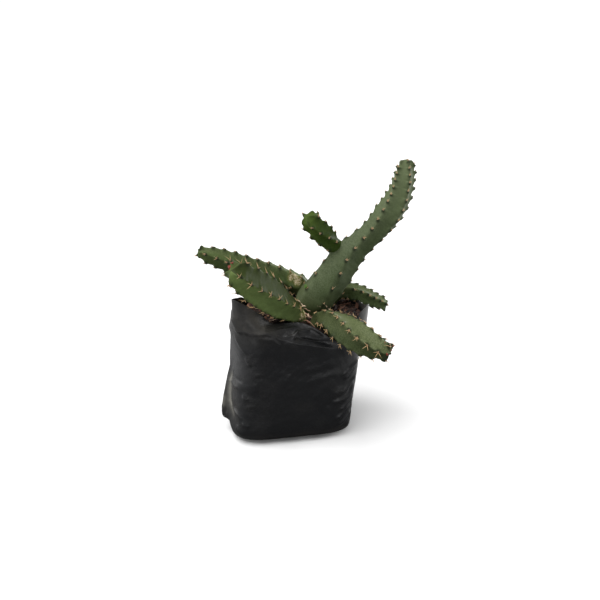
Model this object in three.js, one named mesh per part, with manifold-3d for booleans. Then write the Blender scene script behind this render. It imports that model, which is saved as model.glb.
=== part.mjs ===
// A potted cylindrical cactus with serrated ribs, in a black polythene nursery bag.
// Millimetres, +Z up. The origin is the middle of the bag's flat bottom, and -Y is its front.
import * as THREE from 'three';
import { mergeVertices } from 'three/addons/utils/BufferGeometryUtils.js';
import Module from 'manifold-3d';

const wasm = await Module();
wasm.setup();

// Driving dimensions
const FILM = 0.8; // thickness of the bag's film, drawn thicker than such film is
const LIP_RISE = 0.5; // of the middle of the film's edge over its two sides
const GAP = 0.3; // clearance between pieces that touch
const LEAN_SHARE = 0.9; // of an inset that also goes down where the film leans in
const SIDES = 40; // corners of each ring round the bag and the soil
const SQUARENESS = 4.2; // exponent of the bag's rounded rectangle
const RING_SHAPE = [57, 42]; // half width and depth that place the corners of each ring
const MIDDLE_X = 3; // of the filled bag, where the rings are centred
const LINE_STEPS = 40; // samples between two points of the fold or the rim
const RIBS = 5;
const RIB_SIDES = 3; // corners of a stem's ring for each rib
const RING_SIDES = RIBS * RIB_SIDES;
const SPINE_WIDTH = 0.9; // across a spine's root
const SPINE_SPREAD = [0.5, 1]; // how far a spine leans sideways, against outwards
const SPINE_LEAN = [-0.2, 0.8]; // how far it leans up the stem
const SPINE_VARIES = [0.85, 1.15]; // lengths round the stem's own
const ROOT_AT_CREST = 0.6; // weight of the crest in the middle of a spine's root
const ROOT_MOST = 0.4; // the most of its face that a root takes
const SPINE_SEED = 100; // of the first stem, and one more for each after it
const FOOT_DEPTH = 12; // how deep the stems stand in the soil
const FOOT_RING = 7; // from a stem's foot to its first ring
const RIBS_START = 14; // from a stem's foot to where its ribs begin
const TIP_RUN = 1.2; // from a stem's last ring to its tip
const TIP_BULGE = 0.25; // how far the tip stands out, as a share of its radius
const HOLE_STEP = 6; // between the rings of a stem's hole
const HOLE_ROOM = 0.9; // between a stem's teeth and its hole
// Stems are turned about their own length from the side that faces the front and a little up.
const FRONT = new THREE.Vector3(-0.16, -0.907, 0.39);

// Bag below its fold, as level, left, right, front and back
const BAG_LEVELS = [
  [0, -50, 41, -31, 29],
  [2.5, -53.5, 47, -36, 34.5],
  [9, -55, 50.5, -38.5, 37.5],
  [28, -53.5, 53, -40.5, 39.5],
  [55, -52.5, 55.4, -41.5, 41],
  [80, -52, 57.5, -42, 41],
];
// Line round the bag above which its film leans in
const FOLD = [
  [60.5, -2, 98],
  [55, 30, 99],
  [0, 41, 102],
  [-46, 33, 99],
  [-52, 3, 102],
  [-52.6, -33, 118],
  [-36, -42, 113],
  [-14, -43, 104],
  [10, -43, 100],
  [27, -42.5, 91],
  [40, -42, 89],
  [52, -37, 100],
  [59, -25, 104],
];
// Edge of the open film
const RIM = [
  [64, -8, 117],
  [64, 3, 112],
  [62.5, 10, 107],
  [61, 18, 103.4],
  [57, 30, 104.5],
  [42, 37, 110],
  [20, 39, 117],
  [-2, 39, 117],
  [-24, 38, 111],
  [-43, 32, 103],
  [-48.5, 18, 105],
  [-45, 6, 113],
  [-40, -5, 122],
  [-42, -15, 129.6],
  [-46, -23, 133],
  [-53, -34, 136.6],
  [-49, -38.5, 136.6],
  [-39, -37, 130],
  [-29, -34, 121],
  [-20, -31.5, 112],
  [3, -30, 110.5],
  [17, -35.5, 105],
  [27, -41, 98.5],
  [34, -42, 95.5],
  [42, -41.5, 97],
  [47, -39.5, 104],
  [48.5, -38.2, 114],
  [53, -36.5, 119.5],
  [60, -33.5, 123.5],
  [64, -22, 121],
];
// Sealed ear of the left gusset: how far out from the wall it reaches at each height
const EAR_THICKNESS = 1.2;
const EAR_Y = -4;
const EAR_OUTLINE = [[-50, 8], [-60.5, 10], [-62, 25], [-59, 45], [-55, 66], [-50, 74]];

const ROOM_TOP = 150; // above the middle of the rim, for the space within the film
const SOIL_LEVEL = 106.5;
const SOIL_EDGE_DROP = 1.5; // below the fold
const SOIL_LUMP = 0.8;
const SOIL_RINGS = [0.84, 0.66, 0.44, 0.22]; // of the soil's top, as shares of its edge
const SOIL_FALL = 0.6; // share of the way out where the top begins to fall to its edge
const CHIPS = 44;
const CHIP_SEED = 11;
const CHIP_LENGTH = [5, 13];
const CHIP_WIDTH = [2, 4.5];
const CHIP_HEIGHT = [1.2, 2.2];
const CHIP_TILT = 0.35; // the most that a chip tilts either way, in radians
const CHIP_FIELD = [39, 28]; // half width and depth of the area they lie in

// Stems: centre line and radius from the foot to the tip, the stem it grows from, teeth on each
// rib, how much closer they stand at the tip, and for the foot and the tip where a rib lies in
// degrees from FRONT, the hollows between ribs as a share of the radius, the teeth's height and
// the spines' length.
const STEMS = {
  main_stem: {
    path: [
      [17, 0, 94, 9.5], [19.5, 0, 106, 10.5], [23, 0, 113.5, 13.6], [27, 0, 121, 15.2],
      [32, 0, 130.5, 15.4], [38, 1, 139.5, 15], [48.8, 3, 153.4, 13.5], [61.6, 4, 164.8, 11.9],
      [75.7, 5, 175, 10.6], [85.6, 6.5, 187.6, 11.3], [92.4, 8, 198.8, 10.8], [96.4, 9.3, 209, 10.1],
      [98.7, 10.5, 218.5, 8.9], [99.9, 11.3, 225.5, 7], [100.2, 12, 230, 4.8],
    ],
    teeth: 16, crowding: 0.4, turn: [40, -42], hollow: [0.07, 0.17], tooth: [0.8, 2.2],
    spine: [2.2, 1.8], colour: 0x5c6f4e,
  },
  upper_offset: {
    path: [
      [46.1, 8.5, 155, 7], [41.3, 6.5, 160.4, 8], [35.8, 3.5, 167.7, 8.4], [28.9, 0.8, 176, 8.8],
      [23.1, -1, 182.7, 8.8], [16.7, -2.8, 189.7, 8.5], [13, -4.2, 193.5, 7.2],
    ],
    parent: 'main_stem', teeth: 5, crowding: 0.15, turn: [5, -66], hollow: [0.12, 0.2],
    tooth: [1.2, 1.9], spine: [2.2, 1.8], colour: 0x3f5f33,
  },
  rear_left_stem: {
    path: [
      [20, 25.5, 94, 6.5], [19.4, 25.5, 106, 7.4], [17, 25, 114.6, 8.3], [11.2, 22.5, 121.9, 9.2],
      [4.2, 19.5, 127.7, 9.6], [-10.8, 15.5, 136, 9.8], [-25.6, 13, 142, 9.6],
      [-45.1, 10, 151, 9.2], [-57, 8.5, 155.8, 8.6], [-65.5, 7, 159.2, 7.2], [-72.5, 6, 162, 5],
      [-75.2, 5.5, 163, 3.4],
    ],
    teeth: 11, crowding: 0.1, turn: [-40, -5], hollow: [0.1, 0.2], tooth: [1.2, 1.8],
    spine: [2.2, 2.2], colour: 0x4a6a3c,
  },
  front_left_stem: {
    path: [
      [6, -16, 94, 5.5], [6.2, -15.6, 104, 6.2], [4.2, -15.6, 110.2, 8.2], [-2.4, -17.2, 116, 10.6],
      [-12.9, -22, 125.1, 13], [-23.4, -28, 135.4, 14.2], [-33.8, -34, 145.4, 13.9],
      [-42, -39.2, 153.8, 12.6], [-48.6, -43.6, 160.4, 10.2], [-52, -46.4, 164.4, 6.8],
    ],
    teeth: 9, crowding: 0.05, turn: [0, 4], hollow: [0.12, 0.22], tooth: [1, 1.6],
    spine: [3.2, 4.6], colour: 0x4d6541,
  },
  front_right_stem: {
    path: [
      [17, -22, 94, 5.6], [18, -22.8, 104, 6], [21.5, -25.4, 109.6, 7], [26.8, -33, 111.4, 9.2],
      [33.6, -45, 110.4, 11.6], [41.2, -57.5, 108.3, 12.4], [48.4, -67.5, 105.9, 11.8],
      [55.6, -75.5, 104, 10.1], [61.2, -81, 103.4, 7.6], [64, -83.6, 103.7, 5],
    ],
    teeth: 8, crowding: -0.05, turn: [-34, 10], hollow: [0.12, 0.22], tooth: [1, 1.7],
    spine: [2.8, 3.4], colour: 0x58704a,
  },
  rear_right_stem: {
    path: [
      [37.5, 16.5, 94, 4.8], [39, 17, 105, 5.2], [44, 17.8, 111.8, 5.8], [51, 18, 113.4, 6.5],
      [58.4, 18, 112.6, 7], [68, 18.5, 110.2, 7.5], [77.4, 19, 105.6, 6.8],
      [85.6, 19.5, 100.3, 5.4], [90, 20, 97.3, 3.4],
    ],
    teeth: 8, crowding: 0.05, turn: [-20, -14], hollow: [0.1, 0.2], tooth: [1, 1.6],
    spine: [2.2, 2.2], colour: 0x4a6c36,
  },
};

// Even random numbers from 0 to 1, the same on every run
function randomFrom(seed) {
  let state = seed;
  return () => {
    state = (state * 1664525 + 1013904223) % 4294967296;
    return state / 4294967296;
  };
}

const mix = (a, b, t) => a + (b - a) * t;

// Solid of a skin, which is a list of points and the faces between them
function solidOfSkin({ points, faces }) {
  return new wasm.Manifold(new wasm.Mesh({
    numProp: 3,
    vertProperties: new Float32Array(points.flatMap((p) => p.toArray())),
    triVerts: new Uint32Array(faces.flat()),
  }));
}

function solidOfGeometry(geometry) {
  const bare = geometry.index ? geometry.toNonIndexed() : geometry.clone();
  bare.deleteAttribute('normal');
  bare.deleteAttribute('uv');
  const merged = mergeVertices(bare, 1e-4);
  return new wasm.Manifold(new wasm.Mesh({
    numProp: 3,
    vertProperties: merged.attributes.position.array,
    triVerts: new Uint32Array(merged.index.array),
  }));
}

function geometryOf(solid) {
  const mesh = solid.getMesh();
  const positions = new Float32Array(mesh.numVert * 3);
  for (let i = 0; i < mesh.numVert; i++) {
    positions.set(mesh.vertProperties.subarray(i * mesh.numProp, i * mesh.numProp + 3), i * 3);
  }
  const geometry = new THREE.BufferGeometry();
  geometry.setAttribute('position', new THREE.BufferAttribute(positions, 3));
  geometry.setIndex(new THREE.BufferAttribute(mesh.triVerts, 1));
  geometry.computeVertexNormals();
  return geometry;
}

// The largest body of a solid, without the scraps that a cut leaves
function largestBody(solid) {
  return solid.decompose().reduce((best, body) => (body.volume() > best.volume() ? body : best));
}

// Closed skin over rings of points that run counterclockwise seen from the last ring's side,
// with a cap to a middle point at both ends
function loft(rings, startPoint, endPoint) {
  const count = rings[0].length;
  const points = [startPoint, ...rings.flat(), endPoint];
  const last = points.length - 1;
  const at = (ring, k) => 1 + ring * count + (k % count);
  const faces = [];
  for (let k = 0; k < count; k++) {
    faces.push([0, at(0, k + 1), at(0, k)]);
    faces.push([last, at(rings.length - 1, k), at(rings.length - 1, k + 1)]);
  }
  for (let ring = 0; ring < rings.length - 1; ring++) {
    for (let k = 0; k < count; k++) {
      const a = at(ring, k);
      const b = at(ring, k + 1);
      const c = at(ring + 1, k + 1);
      const d = at(ring + 1, k);
      if ((ring + k) % 2) faces.push([a, b, d], [b, c, d]);
      else faces.push([a, b, c], [a, c, d]);
    }
  }
  return { points, faces };
}

// Ring of the bag at one of its levels
function levelRing([z, left, right, front, back], inset) {
  const middle = new THREE.Vector3((left + right) / 2, (front + back) / 2, z);
  const halfWidth = (right - left) / 2 - inset;
  const halfDepth = (back - front) / 2 - inset;
  const ring = [];
  for (let k = 0; k < SIDES; k++) {
    const angle = (k / SIDES) * 2 * Math.PI;
    const direction = new THREE.Vector3(
      RING_SHAPE[0] * Math.cos(angle), RING_SHAPE[1] * Math.sin(angle), 0,
    ).normalize();
    const reach = (Math.abs(direction.x / halfWidth) ** SQUARENESS
      + Math.abs(direction.y / halfDepth) ** SQUARENESS) ** (-1 / SQUARENESS);
    ring.push(direction.multiplyScalar(reach).add(middle));
  }
  return ring;
}

// Ring along a closed line of points, with its corners in the same directions as a level's. The
// film leans in there, so its inner face is set down as well as in.
function lineRing(line, inset) {
  const curve = new THREE.CatmullRomCurve3(line.map((p) => new THREE.Vector3(...p)), true);
  const samples = curve.getPoints(line.length * LINE_STEPS);
  const bearing = (x, y) => Math.atan2(y, x - MIDDLE_X);
  return levelRing(BAG_LEVELS[BAG_LEVELS.length - 1], 0).map((corner) => {
    const wanted = bearing(corner.x, corner.y);
    const miss = (p) => {
      const turn = Math.abs(bearing(p.x, p.y) - wanted);
      return Math.min(turn, 2 * Math.PI - turn);
    };
    const point = samples.reduce((best, p) => (miss(p) < miss(best) ? p : best)).clone();
    const inwards = new THREE.Vector3(MIDDLE_X - point.x, -point.y, 0).normalize();
    return point.addScaledVector(inwards, inset).setZ(point.z - inset * LEAN_SHARE);
  });
}

// Bag: an open shell of film with a flat bottom, and the sealed ear of its left gusset
function bagRings(inset) {
  return [
    ...BAG_LEVELS.map((level, i) => levelRing(i ? level : [inset, ...level.slice(1)], inset)),
    lineRing(FOLD, inset),
    lineRing(RIM, inset),
  ];
}

// Everything within the bag's film, set in from its outside
function bagInside(inset) {
  return solidOfSkin(loft(
    bagRings(inset),
    new THREE.Vector3(0, 0, inset),
    new THREE.Vector3(0, 0, ROOM_TOP),
  ));
}

function buildBag() {
  const lip = lineRing(RIM, FILM / 2).map((p) => p.setZ(p.z + LIP_RISE));
  const shell = loft(
    [...bagRings(0), lip, ...bagRings(FILM).reverse()],
    new THREE.Vector3(0, 0, 0),
    new THREE.Vector3(0, 0, FILM),
  );
  const outline = new THREE.Shape(EAR_OUTLINE.map(([x, z]) => new THREE.Vector2(x, z)));
  const ear = new THREE.ExtrudeGeometry(outline, { depth: EAR_THICKNESS, bevelEnabled: false });
  ear.rotateX(Math.PI / 2);
  ear.translate(0, EAR_Y, 0);
  return solidOfSkin(shell).add(solidOfGeometry(ear).subtract(bagInside(FILM)));
}

// Soil: fills the bag up to its fold, lumpy on top, with bark chips lying half sunk in it
function soilHeight(x, y) {
  const lumps = Math.sin(x * 0.42 + 1.3) * Math.cos(y * 0.37 - 0.6)
    + 0.6 * Math.sin(x * 0.83 - y * 0.61 + 2.1);
  return SOIL_LEVEL + SOIL_LUMP * lumps;
}

function buildSoil() {
  const inset = FILM + GAP;
  const sides = bagRings(inset).slice(0, BAG_LEVELS.length);
  const edge = lineRing(FOLD, inset).map((p) => p.setZ(p.z - SOIL_EDGE_DROP));
  const top = SOIL_RINGS.map((share) => edge.map((p) => {
    const x = mix(MIDDLE_X, p.x, share);
    const y = p.y * share;
    const fall = Math.max(0, share - SOIL_FALL) / (1 - SOIL_FALL);
    return new THREE.Vector3(x, y, mix(soilHeight(x, y), p.z, fall * fall));
  }));
  let soil = solidOfSkin(loft(
    [...sides, edge, ...top],
    new THREE.Vector3(0, 0, inset),
    new THREE.Vector3(MIDDLE_X, 0, soilHeight(MIDDLE_X, 0)),
  ));
  const random = randomFrom(CHIP_SEED);
  for (let i = 0; i < CHIPS; i++) {
    const reach = Math.sqrt(random());
    const bearing = random() * 2 * Math.PI;
    const x = MIDDLE_X + CHIP_FIELD[0] * reach * Math.cos(bearing);
    const y = CHIP_FIELD[1] * reach * Math.sin(bearing);
    const height = mix(...CHIP_HEIGHT, random());
    const chip = new THREE.BoxGeometry(mix(...CHIP_LENGTH, random()), mix(...CHIP_WIDTH, random()), height);
    chip.rotateX(mix(-CHIP_TILT, CHIP_TILT, random()));
    chip.rotateY(mix(-CHIP_TILT, CHIP_TILT, random()));
    chip.rotateZ(random() * Math.PI);
    chip.translate(x, y, soilHeight(x, y) - (reach > SOIL_FALL ? height / 2 : 0));
    soil = soil.add(solidOfGeometry(chip));
  }
  return soil.intersect(bagInside(inset));
}

// Place on a stem: point, radius, direction of growth, and the two directions across it
function stemLine(stem) {
  const line = new THREE.CatmullRomCurve3(
    stem.path.map(([x, y, z]) => new THREE.Vector3(x, y, z)), false, 'catmullrom', 0.5,
  );
  const radii = new THREE.CatmullRomCurve3(
    stem.path.map((p) => new THREE.Vector3(p[3], 0, 0)), false, 'catmullrom', 0.5,
  );
  line.arcLengthDivisions = 400;
  const length = line.getLength();
  const at = (distance) => {
    const share = Math.min(1, Math.max(0, distance / length));
    const t = line.getUtoTmapping(share);
    const along = line.getTangent(t);
    const front = FRONT.clone().addScaledVector(along, -FRONT.dot(along)).normalize();
    const across = along.clone().cross(front);
    return { point: line.getPoint(t), radius: radii.getPoint(t).x, along, front, across, share };
  };
  return { length, at };
}

// Height of a tooth over its own length: a slow ramp up to the areole, then a steep drop
const TOOTH_CREST = 0.76;
const TOOTH_STEPS = [[0, 0], [TOOTH_CREST / 2, 0.42], [TOOTH_CREST, 1]];
// How far each rib's teeth stand ahead of the next, as a share of a tooth's length
const RIB_STAGGER = [0, 0.42, -0.16, 0.26, -0.34];

// Where along a stem a tooth's place lies, counted in teeth from the soil up
function toothDistance(stem, length, tooth) {
  const share = tooth / stem.teeth;
  const spread = share + stem.crowding * share * (1 - share);
  return mix(RIBS_START, length - TIP_RUN, spread);
}

function stemPoint(line, stem, distance, rib, offset, raised, swell) {
  const place = line.at(distance);
  const grown = Math.max(0, (distance - FOOT_DEPTH) / (line.length - FOOT_DEPTH));
  const turn = mix(stem.turn[0], stem.turn[1], grown);
  const angle = THREE.MathUtils.degToRad(turn + (rib + offset) * (360 / RIBS));
  const hollow = mix(stem.hollow[0], stem.hollow[1], grown) * (offset ? 1 : 0);
  const tooth = mix(stem.tooth[0], stem.tooth[1], grown) * raised;
  const radius = place.radius * (1 - (grown ? hollow : 0)) + tooth + swell;
  const outwards = place.front.clone().multiplyScalar(Math.cos(angle))
    .addScaledVector(place.across, Math.sin(angle));
  return { point: place.point.clone().addScaledVector(outwards, radius), outwards, place, grown };
}

// Skin of a stem: plain in the soil, then ribbed and toothed. A swollen copy cuts a seat for it.
function stemSkin(stem, swell) {
  const line = stemLine(stem);
  const ring = (distanceOf, raised) => {
    const points = [];
    for (let k = 0; k < RING_SIDES; k++) {
      const rib = Math.floor((k + 1) / RIB_SIDES) % RIBS;
      const offset = ((k + 1) % RIB_SIDES - 1) / RIB_SIDES;
      const height = offset ? 0 : raised;
      points.push(stemPoint(line, stem, distanceOf(rib, offset), rib, offset, height, swell).point);
    }
    return points;
  };
  const staggered = (place) => (rib, offset) => {
    const next = RIB_STAGGER[(rib + (offset > 0 ? 1 : RIBS - 1)) % RIBS];
    const stagger = mix(RIB_STAGGER[rib], next, Math.abs(offset));
    return toothDistance(stem, line.length, Math.min(stem.teeth, Math.max(0, place + stagger)));
  };
  const foot = line.at(0);
  const tip = line.at(line.length);
  const sole = ring(() => 0, 0).map((p) => p.addScaledVector(foot.along, -swell));
  const rings = [sole, ring(() => FOOT_RING, 0)];
  const crestRings = [];
  for (let tooth = 0; tooth < stem.teeth; tooth++) {
    TOOTH_STEPS.forEach(([step, height]) => {
      if (step === TOOTH_CREST) crestRings.push(rings.length);
      rings.push(ring(staggered(tooth + step), height));
    });
  }
  const skin = loft(
    rings,
    foot.point.addScaledVector(foot.along, -swell),
    tip.point.addScaledVector(tip.along, TIP_BULGE * tip.radius + swell),
  );
  return { ...skin, line, crestRings };
}

// Plain round room for a stem in the soil, clear of its teeth
function stemHole(stem) {
  const line = stemLine(stem);
  const rings = [];
  const distances = [0, FOOT_RING];
  for (let distance = RIBS_START; distance < line.length; distance += HOLE_STEP) {
    distances.push(distance);
  }
  distances.forEach((distance) => {
    const { point, radius, front, across, along } = line.at(distance);
    const reach = (radius + Math.max(...stem.tooth) + HOLE_ROOM) / Math.cos(Math.PI / RING_SIDES);
    rings.push(Array.from({ length: RING_SIDES }, (_, k) => {
      const angle = (k / RING_SIDES) * 2 * Math.PI;
      return point.clone().addScaledVector(front, reach * Math.cos(angle))
        .addScaledVector(across, reach * Math.sin(angle))
        .addScaledVector(along, distance ? 0 : -GAP);
    }));
  });
  const foot = line.at(0);
  return solidOfSkin(loft(
    rings,
    foot.point.addScaledVector(foot.along, -GAP),
    line.at(line.length - 1).point,
  ));
}

// Spines: two needles raised from the faces beside every tooth's crest, each on the face that
// looks its way. One that would cross another piece is left out.
function spinyStem(stem, others, seed) {
  const { points, faces, line, crestRings } = stemSkin(stem, 0);
  const random = randomFrom(seed);
  crestRings.forEach((ring, tooth) => {
    for (let rib = 0; rib < RIBS; rib++) {
      const crest = 1 + ring * RING_SIDES + rib * RIB_SIDES;
      const counted = Math.min(stem.teeth, tooth + TOOTH_CREST + RIB_STAGGER[rib]);
      const distance = toothDistance(stem, line.length, counted);
      const { outwards, place, grown } = stemPoint(line, stem, distance, rib, 0, 1, 0);
      const sideways = new THREE.Vector3().crossVectors(place.along, outwards);
      [-1, 1].forEach((side) => {
        const direction = outwards.clone()
          .addScaledVector(sideways, side * mix(...SPINE_SPREAD, random()))
          .addScaledVector(place.along, mix(...SPINE_LEAN, random()))
          .normalize();
        const length = mix(...stem.spine, grown) * mix(...SPINE_VARIES, random());
        raiseSpine(points, faces, crest, direction, length, others);
      });
    }
  });
  return solidOfSkin({ points, faces });
}

function raiseSpine(points, faces, crest, direction, length, others) {
  const look = (face) => {
    const [a, b, c] = face.map((i) => points[i]);
    return new THREE.Triangle(a, b, c).getNormal(new THREE.Vector3()).dot(direction);
  };
  const face = faces.filter((candidate) => candidate.includes(crest))
    .reduce((best, other) => (look(other) > look(best) ? other : best));
  const corners = face.map((i) => points[i]);
  const root = new THREE.Vector3();
  face.forEach((i, n) => {
    root.addScaledVector(corners[n], i === crest ? ROOT_AT_CREST : (1 - ROOT_AT_CREST) / 2);
  });
  const reach = Math.max(...corners.map((corner) => corner.distanceTo(root)));
  const share = Math.min(ROOT_MOST, SPINE_WIDTH / reach);
  const ring = corners.map((corner) => root.clone().lerp(corner, share));
  const apex = root.clone().addScaledVector(direction, length);
  const needle = { points: [...ring, apex], faces: [[0, 2, 1], [0, 1, 3], [1, 2, 3], [2, 0, 3]] };
  if (!others.intersect(solidOfSkin(needle)).isEmpty()) return;
  const first = points.length;
  points.push(...needle.points);
  faces.splice(faces.indexOf(face), 1);
  for (let n = 0; n < 3; n++) {
    const m = (n + 1) % 3;
    faces.push([face[n], face[m], first + m], [face[n], first + m, first + n]);
    faces.push([first + n, first + m, first + 3]);
  }
}

// Assembly
const plant = new THREE.Group();

function addPiece(name, solid, colour, roughness, metalness) {
  const material = new THREE.MeshStandardMaterial({ color: colour, roughness, metalness });
  const mesh = new THREE.Mesh(geometryOf(solid), material);
  mesh.name = name;
  plant.add(mesh);
}

const seats = Object.fromEntries(Object.entries(STEMS).map(
  ([name, stem]) => [name, solidOfSkin(stemSkin(stem, GAP))],
));
const bag = buildBag();
const soil = Object.values(STEMS).reduce((cut, stem) => cut.subtract(stemHole(stem)), buildSoil());
addPiece('grow_bag', bag, 0x1b1c20, 0.38, 0);
addPiece('soil', largestBody(soil), 0x2c211b, 0.95, 0);

Object.entries(STEMS).forEach(([name, stem], i) => {
  const others = Object.entries(seats).filter(([other]) => other !== name).map(([, seat]) => seat);
  let body = spinyStem(stem, wasm.Manifold.union([bag, soil, ...others]), SPINE_SEED + i);
  if (stem.parent) body = largestBody(body.subtract(seats[stem.parent]));
  addPiece(name, body, stem.colour, 0.62, 0);
});

export default plant;
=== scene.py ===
"""A potted cylindrical cactus in a black polythene nursery bag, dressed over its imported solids.

Sizes are in millimetres up to the point where a mesh is made, and in metres from there on.
"""
import math

import bpy
import numpy as np
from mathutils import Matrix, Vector


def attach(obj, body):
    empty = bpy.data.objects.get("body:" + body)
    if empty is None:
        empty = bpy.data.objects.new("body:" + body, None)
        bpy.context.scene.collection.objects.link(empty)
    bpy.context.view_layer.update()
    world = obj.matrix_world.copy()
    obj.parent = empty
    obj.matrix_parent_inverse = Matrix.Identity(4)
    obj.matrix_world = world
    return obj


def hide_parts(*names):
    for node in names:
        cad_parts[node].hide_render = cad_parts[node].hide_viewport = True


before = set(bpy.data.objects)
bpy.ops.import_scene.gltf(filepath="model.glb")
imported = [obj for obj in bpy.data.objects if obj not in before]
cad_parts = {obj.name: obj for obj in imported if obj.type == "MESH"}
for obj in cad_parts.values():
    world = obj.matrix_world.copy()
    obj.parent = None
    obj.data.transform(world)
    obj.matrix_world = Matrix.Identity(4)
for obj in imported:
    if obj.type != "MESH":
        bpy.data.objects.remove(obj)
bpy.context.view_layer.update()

MM = 0.001
TURN = 2 * math.pi

# Camera
CAMERA_AT = (-93.96, -580.17, 367.44)
CAMERA_TARGET = (8.34, 0.0, 117.38)
CAMERA_LENS = 45.0
CAMERA_SENSOR = 36.0
CAMERA_NEAREST = 0.01

# Sizes that the stems share with the solids
RIBS = 5
RIB_PITCH = TURN / RIBS
FOOT_DEPTH = 12.0  # how deep a stem stands in the soil
RIBS_START = 14.0  # from a stem's foot to where its ribs begin
TIP_RUN = 1.2  # from the end of its last tooth to its tip
TIP_BULGE = 0.25  # how far the tip stands out, as a share of its radius
FRONT = np.array([-0.16, -0.907, 0.39])  # angles round a stem start on the side that faces this way

# Ribs, their teeth, and a stem's tip. Widths on a rib are shares of the pitch between ribs.
RIB_STAGGER = (0, 0.42, -0.16, 0.26, -0.34)  # of the teeth of the two rear stems
RIBS_LEAD = 4.0  # how far before RIBS_START the ribs begin to rise
RIBS_RISE = 6.0  # and over what length they do
TOOTH_CREST = 0.66  # where in its length a tooth is highest
PAST_TIP = 1.03  # up to where teeth are counted, as a share of the ribs' length
SLOPE_WIDTH = (0.33, 0.2)  # of a tooth's slope at its foot and at its crest
SLOPE_HEIGHT = 0.5  # of the slope and of the knob on it, as shares of the tooth's height
KNOB_HEIGHT = 0.6
KNOB = 1.85  # half width of the knob
KNOB_EDGE = 1.4  # how steep its edge is
AREOLE_SPREAD = 0.98  # of the dark skin and painted shadow round an areole, as a share of the knob
AREOLE_AHEAD = 0.2  # how far it lies ahead of the crest
AREOLE_STEP = 0.95  # and how far the felt does
TOOTH_VARIES = (0.8, 1.2)
TIP_HOLLOW = 0.14  # more of a hollow between ribs at the tip
TIP_FROM = 0.93  # where that begins, as a share of the stem's length
CAP_RUN = 0.5  # of the round cap before the tip, as a share of the tip's radius
CAP_ROUNDNESS = 2.6
CROWN = 1.3  # how far the last knobs stand out
CROWN_AT = 0.5  # where on the cap, how far along it and how wide they are
CROWN_REACH = 0.3
CROWN_WIDTH = 0.13
CROWN_AIM = (0.6, 0.8)  # how far they point out and along
# how dark the last knobs are painted, partly their own skin, partly painted shade
CROWN_DARK_AND_SHADE = 0.45
# Unevenness of the skin: how many waves, the longest and the shortest, then their height
WAVES = (9, 46, 13)
RIPPLES = (14, 9, 3.5)
WAVE_HEIGHT = 0.12
RIPPLE_HEIGHT = 0.05
MOST_ROUND = 5  # one more than the most waves round a stem
# Where the colours of a stem's parts lie
CREST_WIDTH = 0.1
TIP_COLOUR_FROM = 0.5
FOOT_COLOUR_RUN = 26.0  # of the darker skin above the soil
PAINTED_LIGHT_FROM = np.array([-0.28, -0.1, 0.95])  # the side painted paler as painted light, where the light falls
# how far the skin must face the light before the painted highlight starts and is full
PAINTED_LIGHT_RANGE = (0.1, 0.75)
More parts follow.
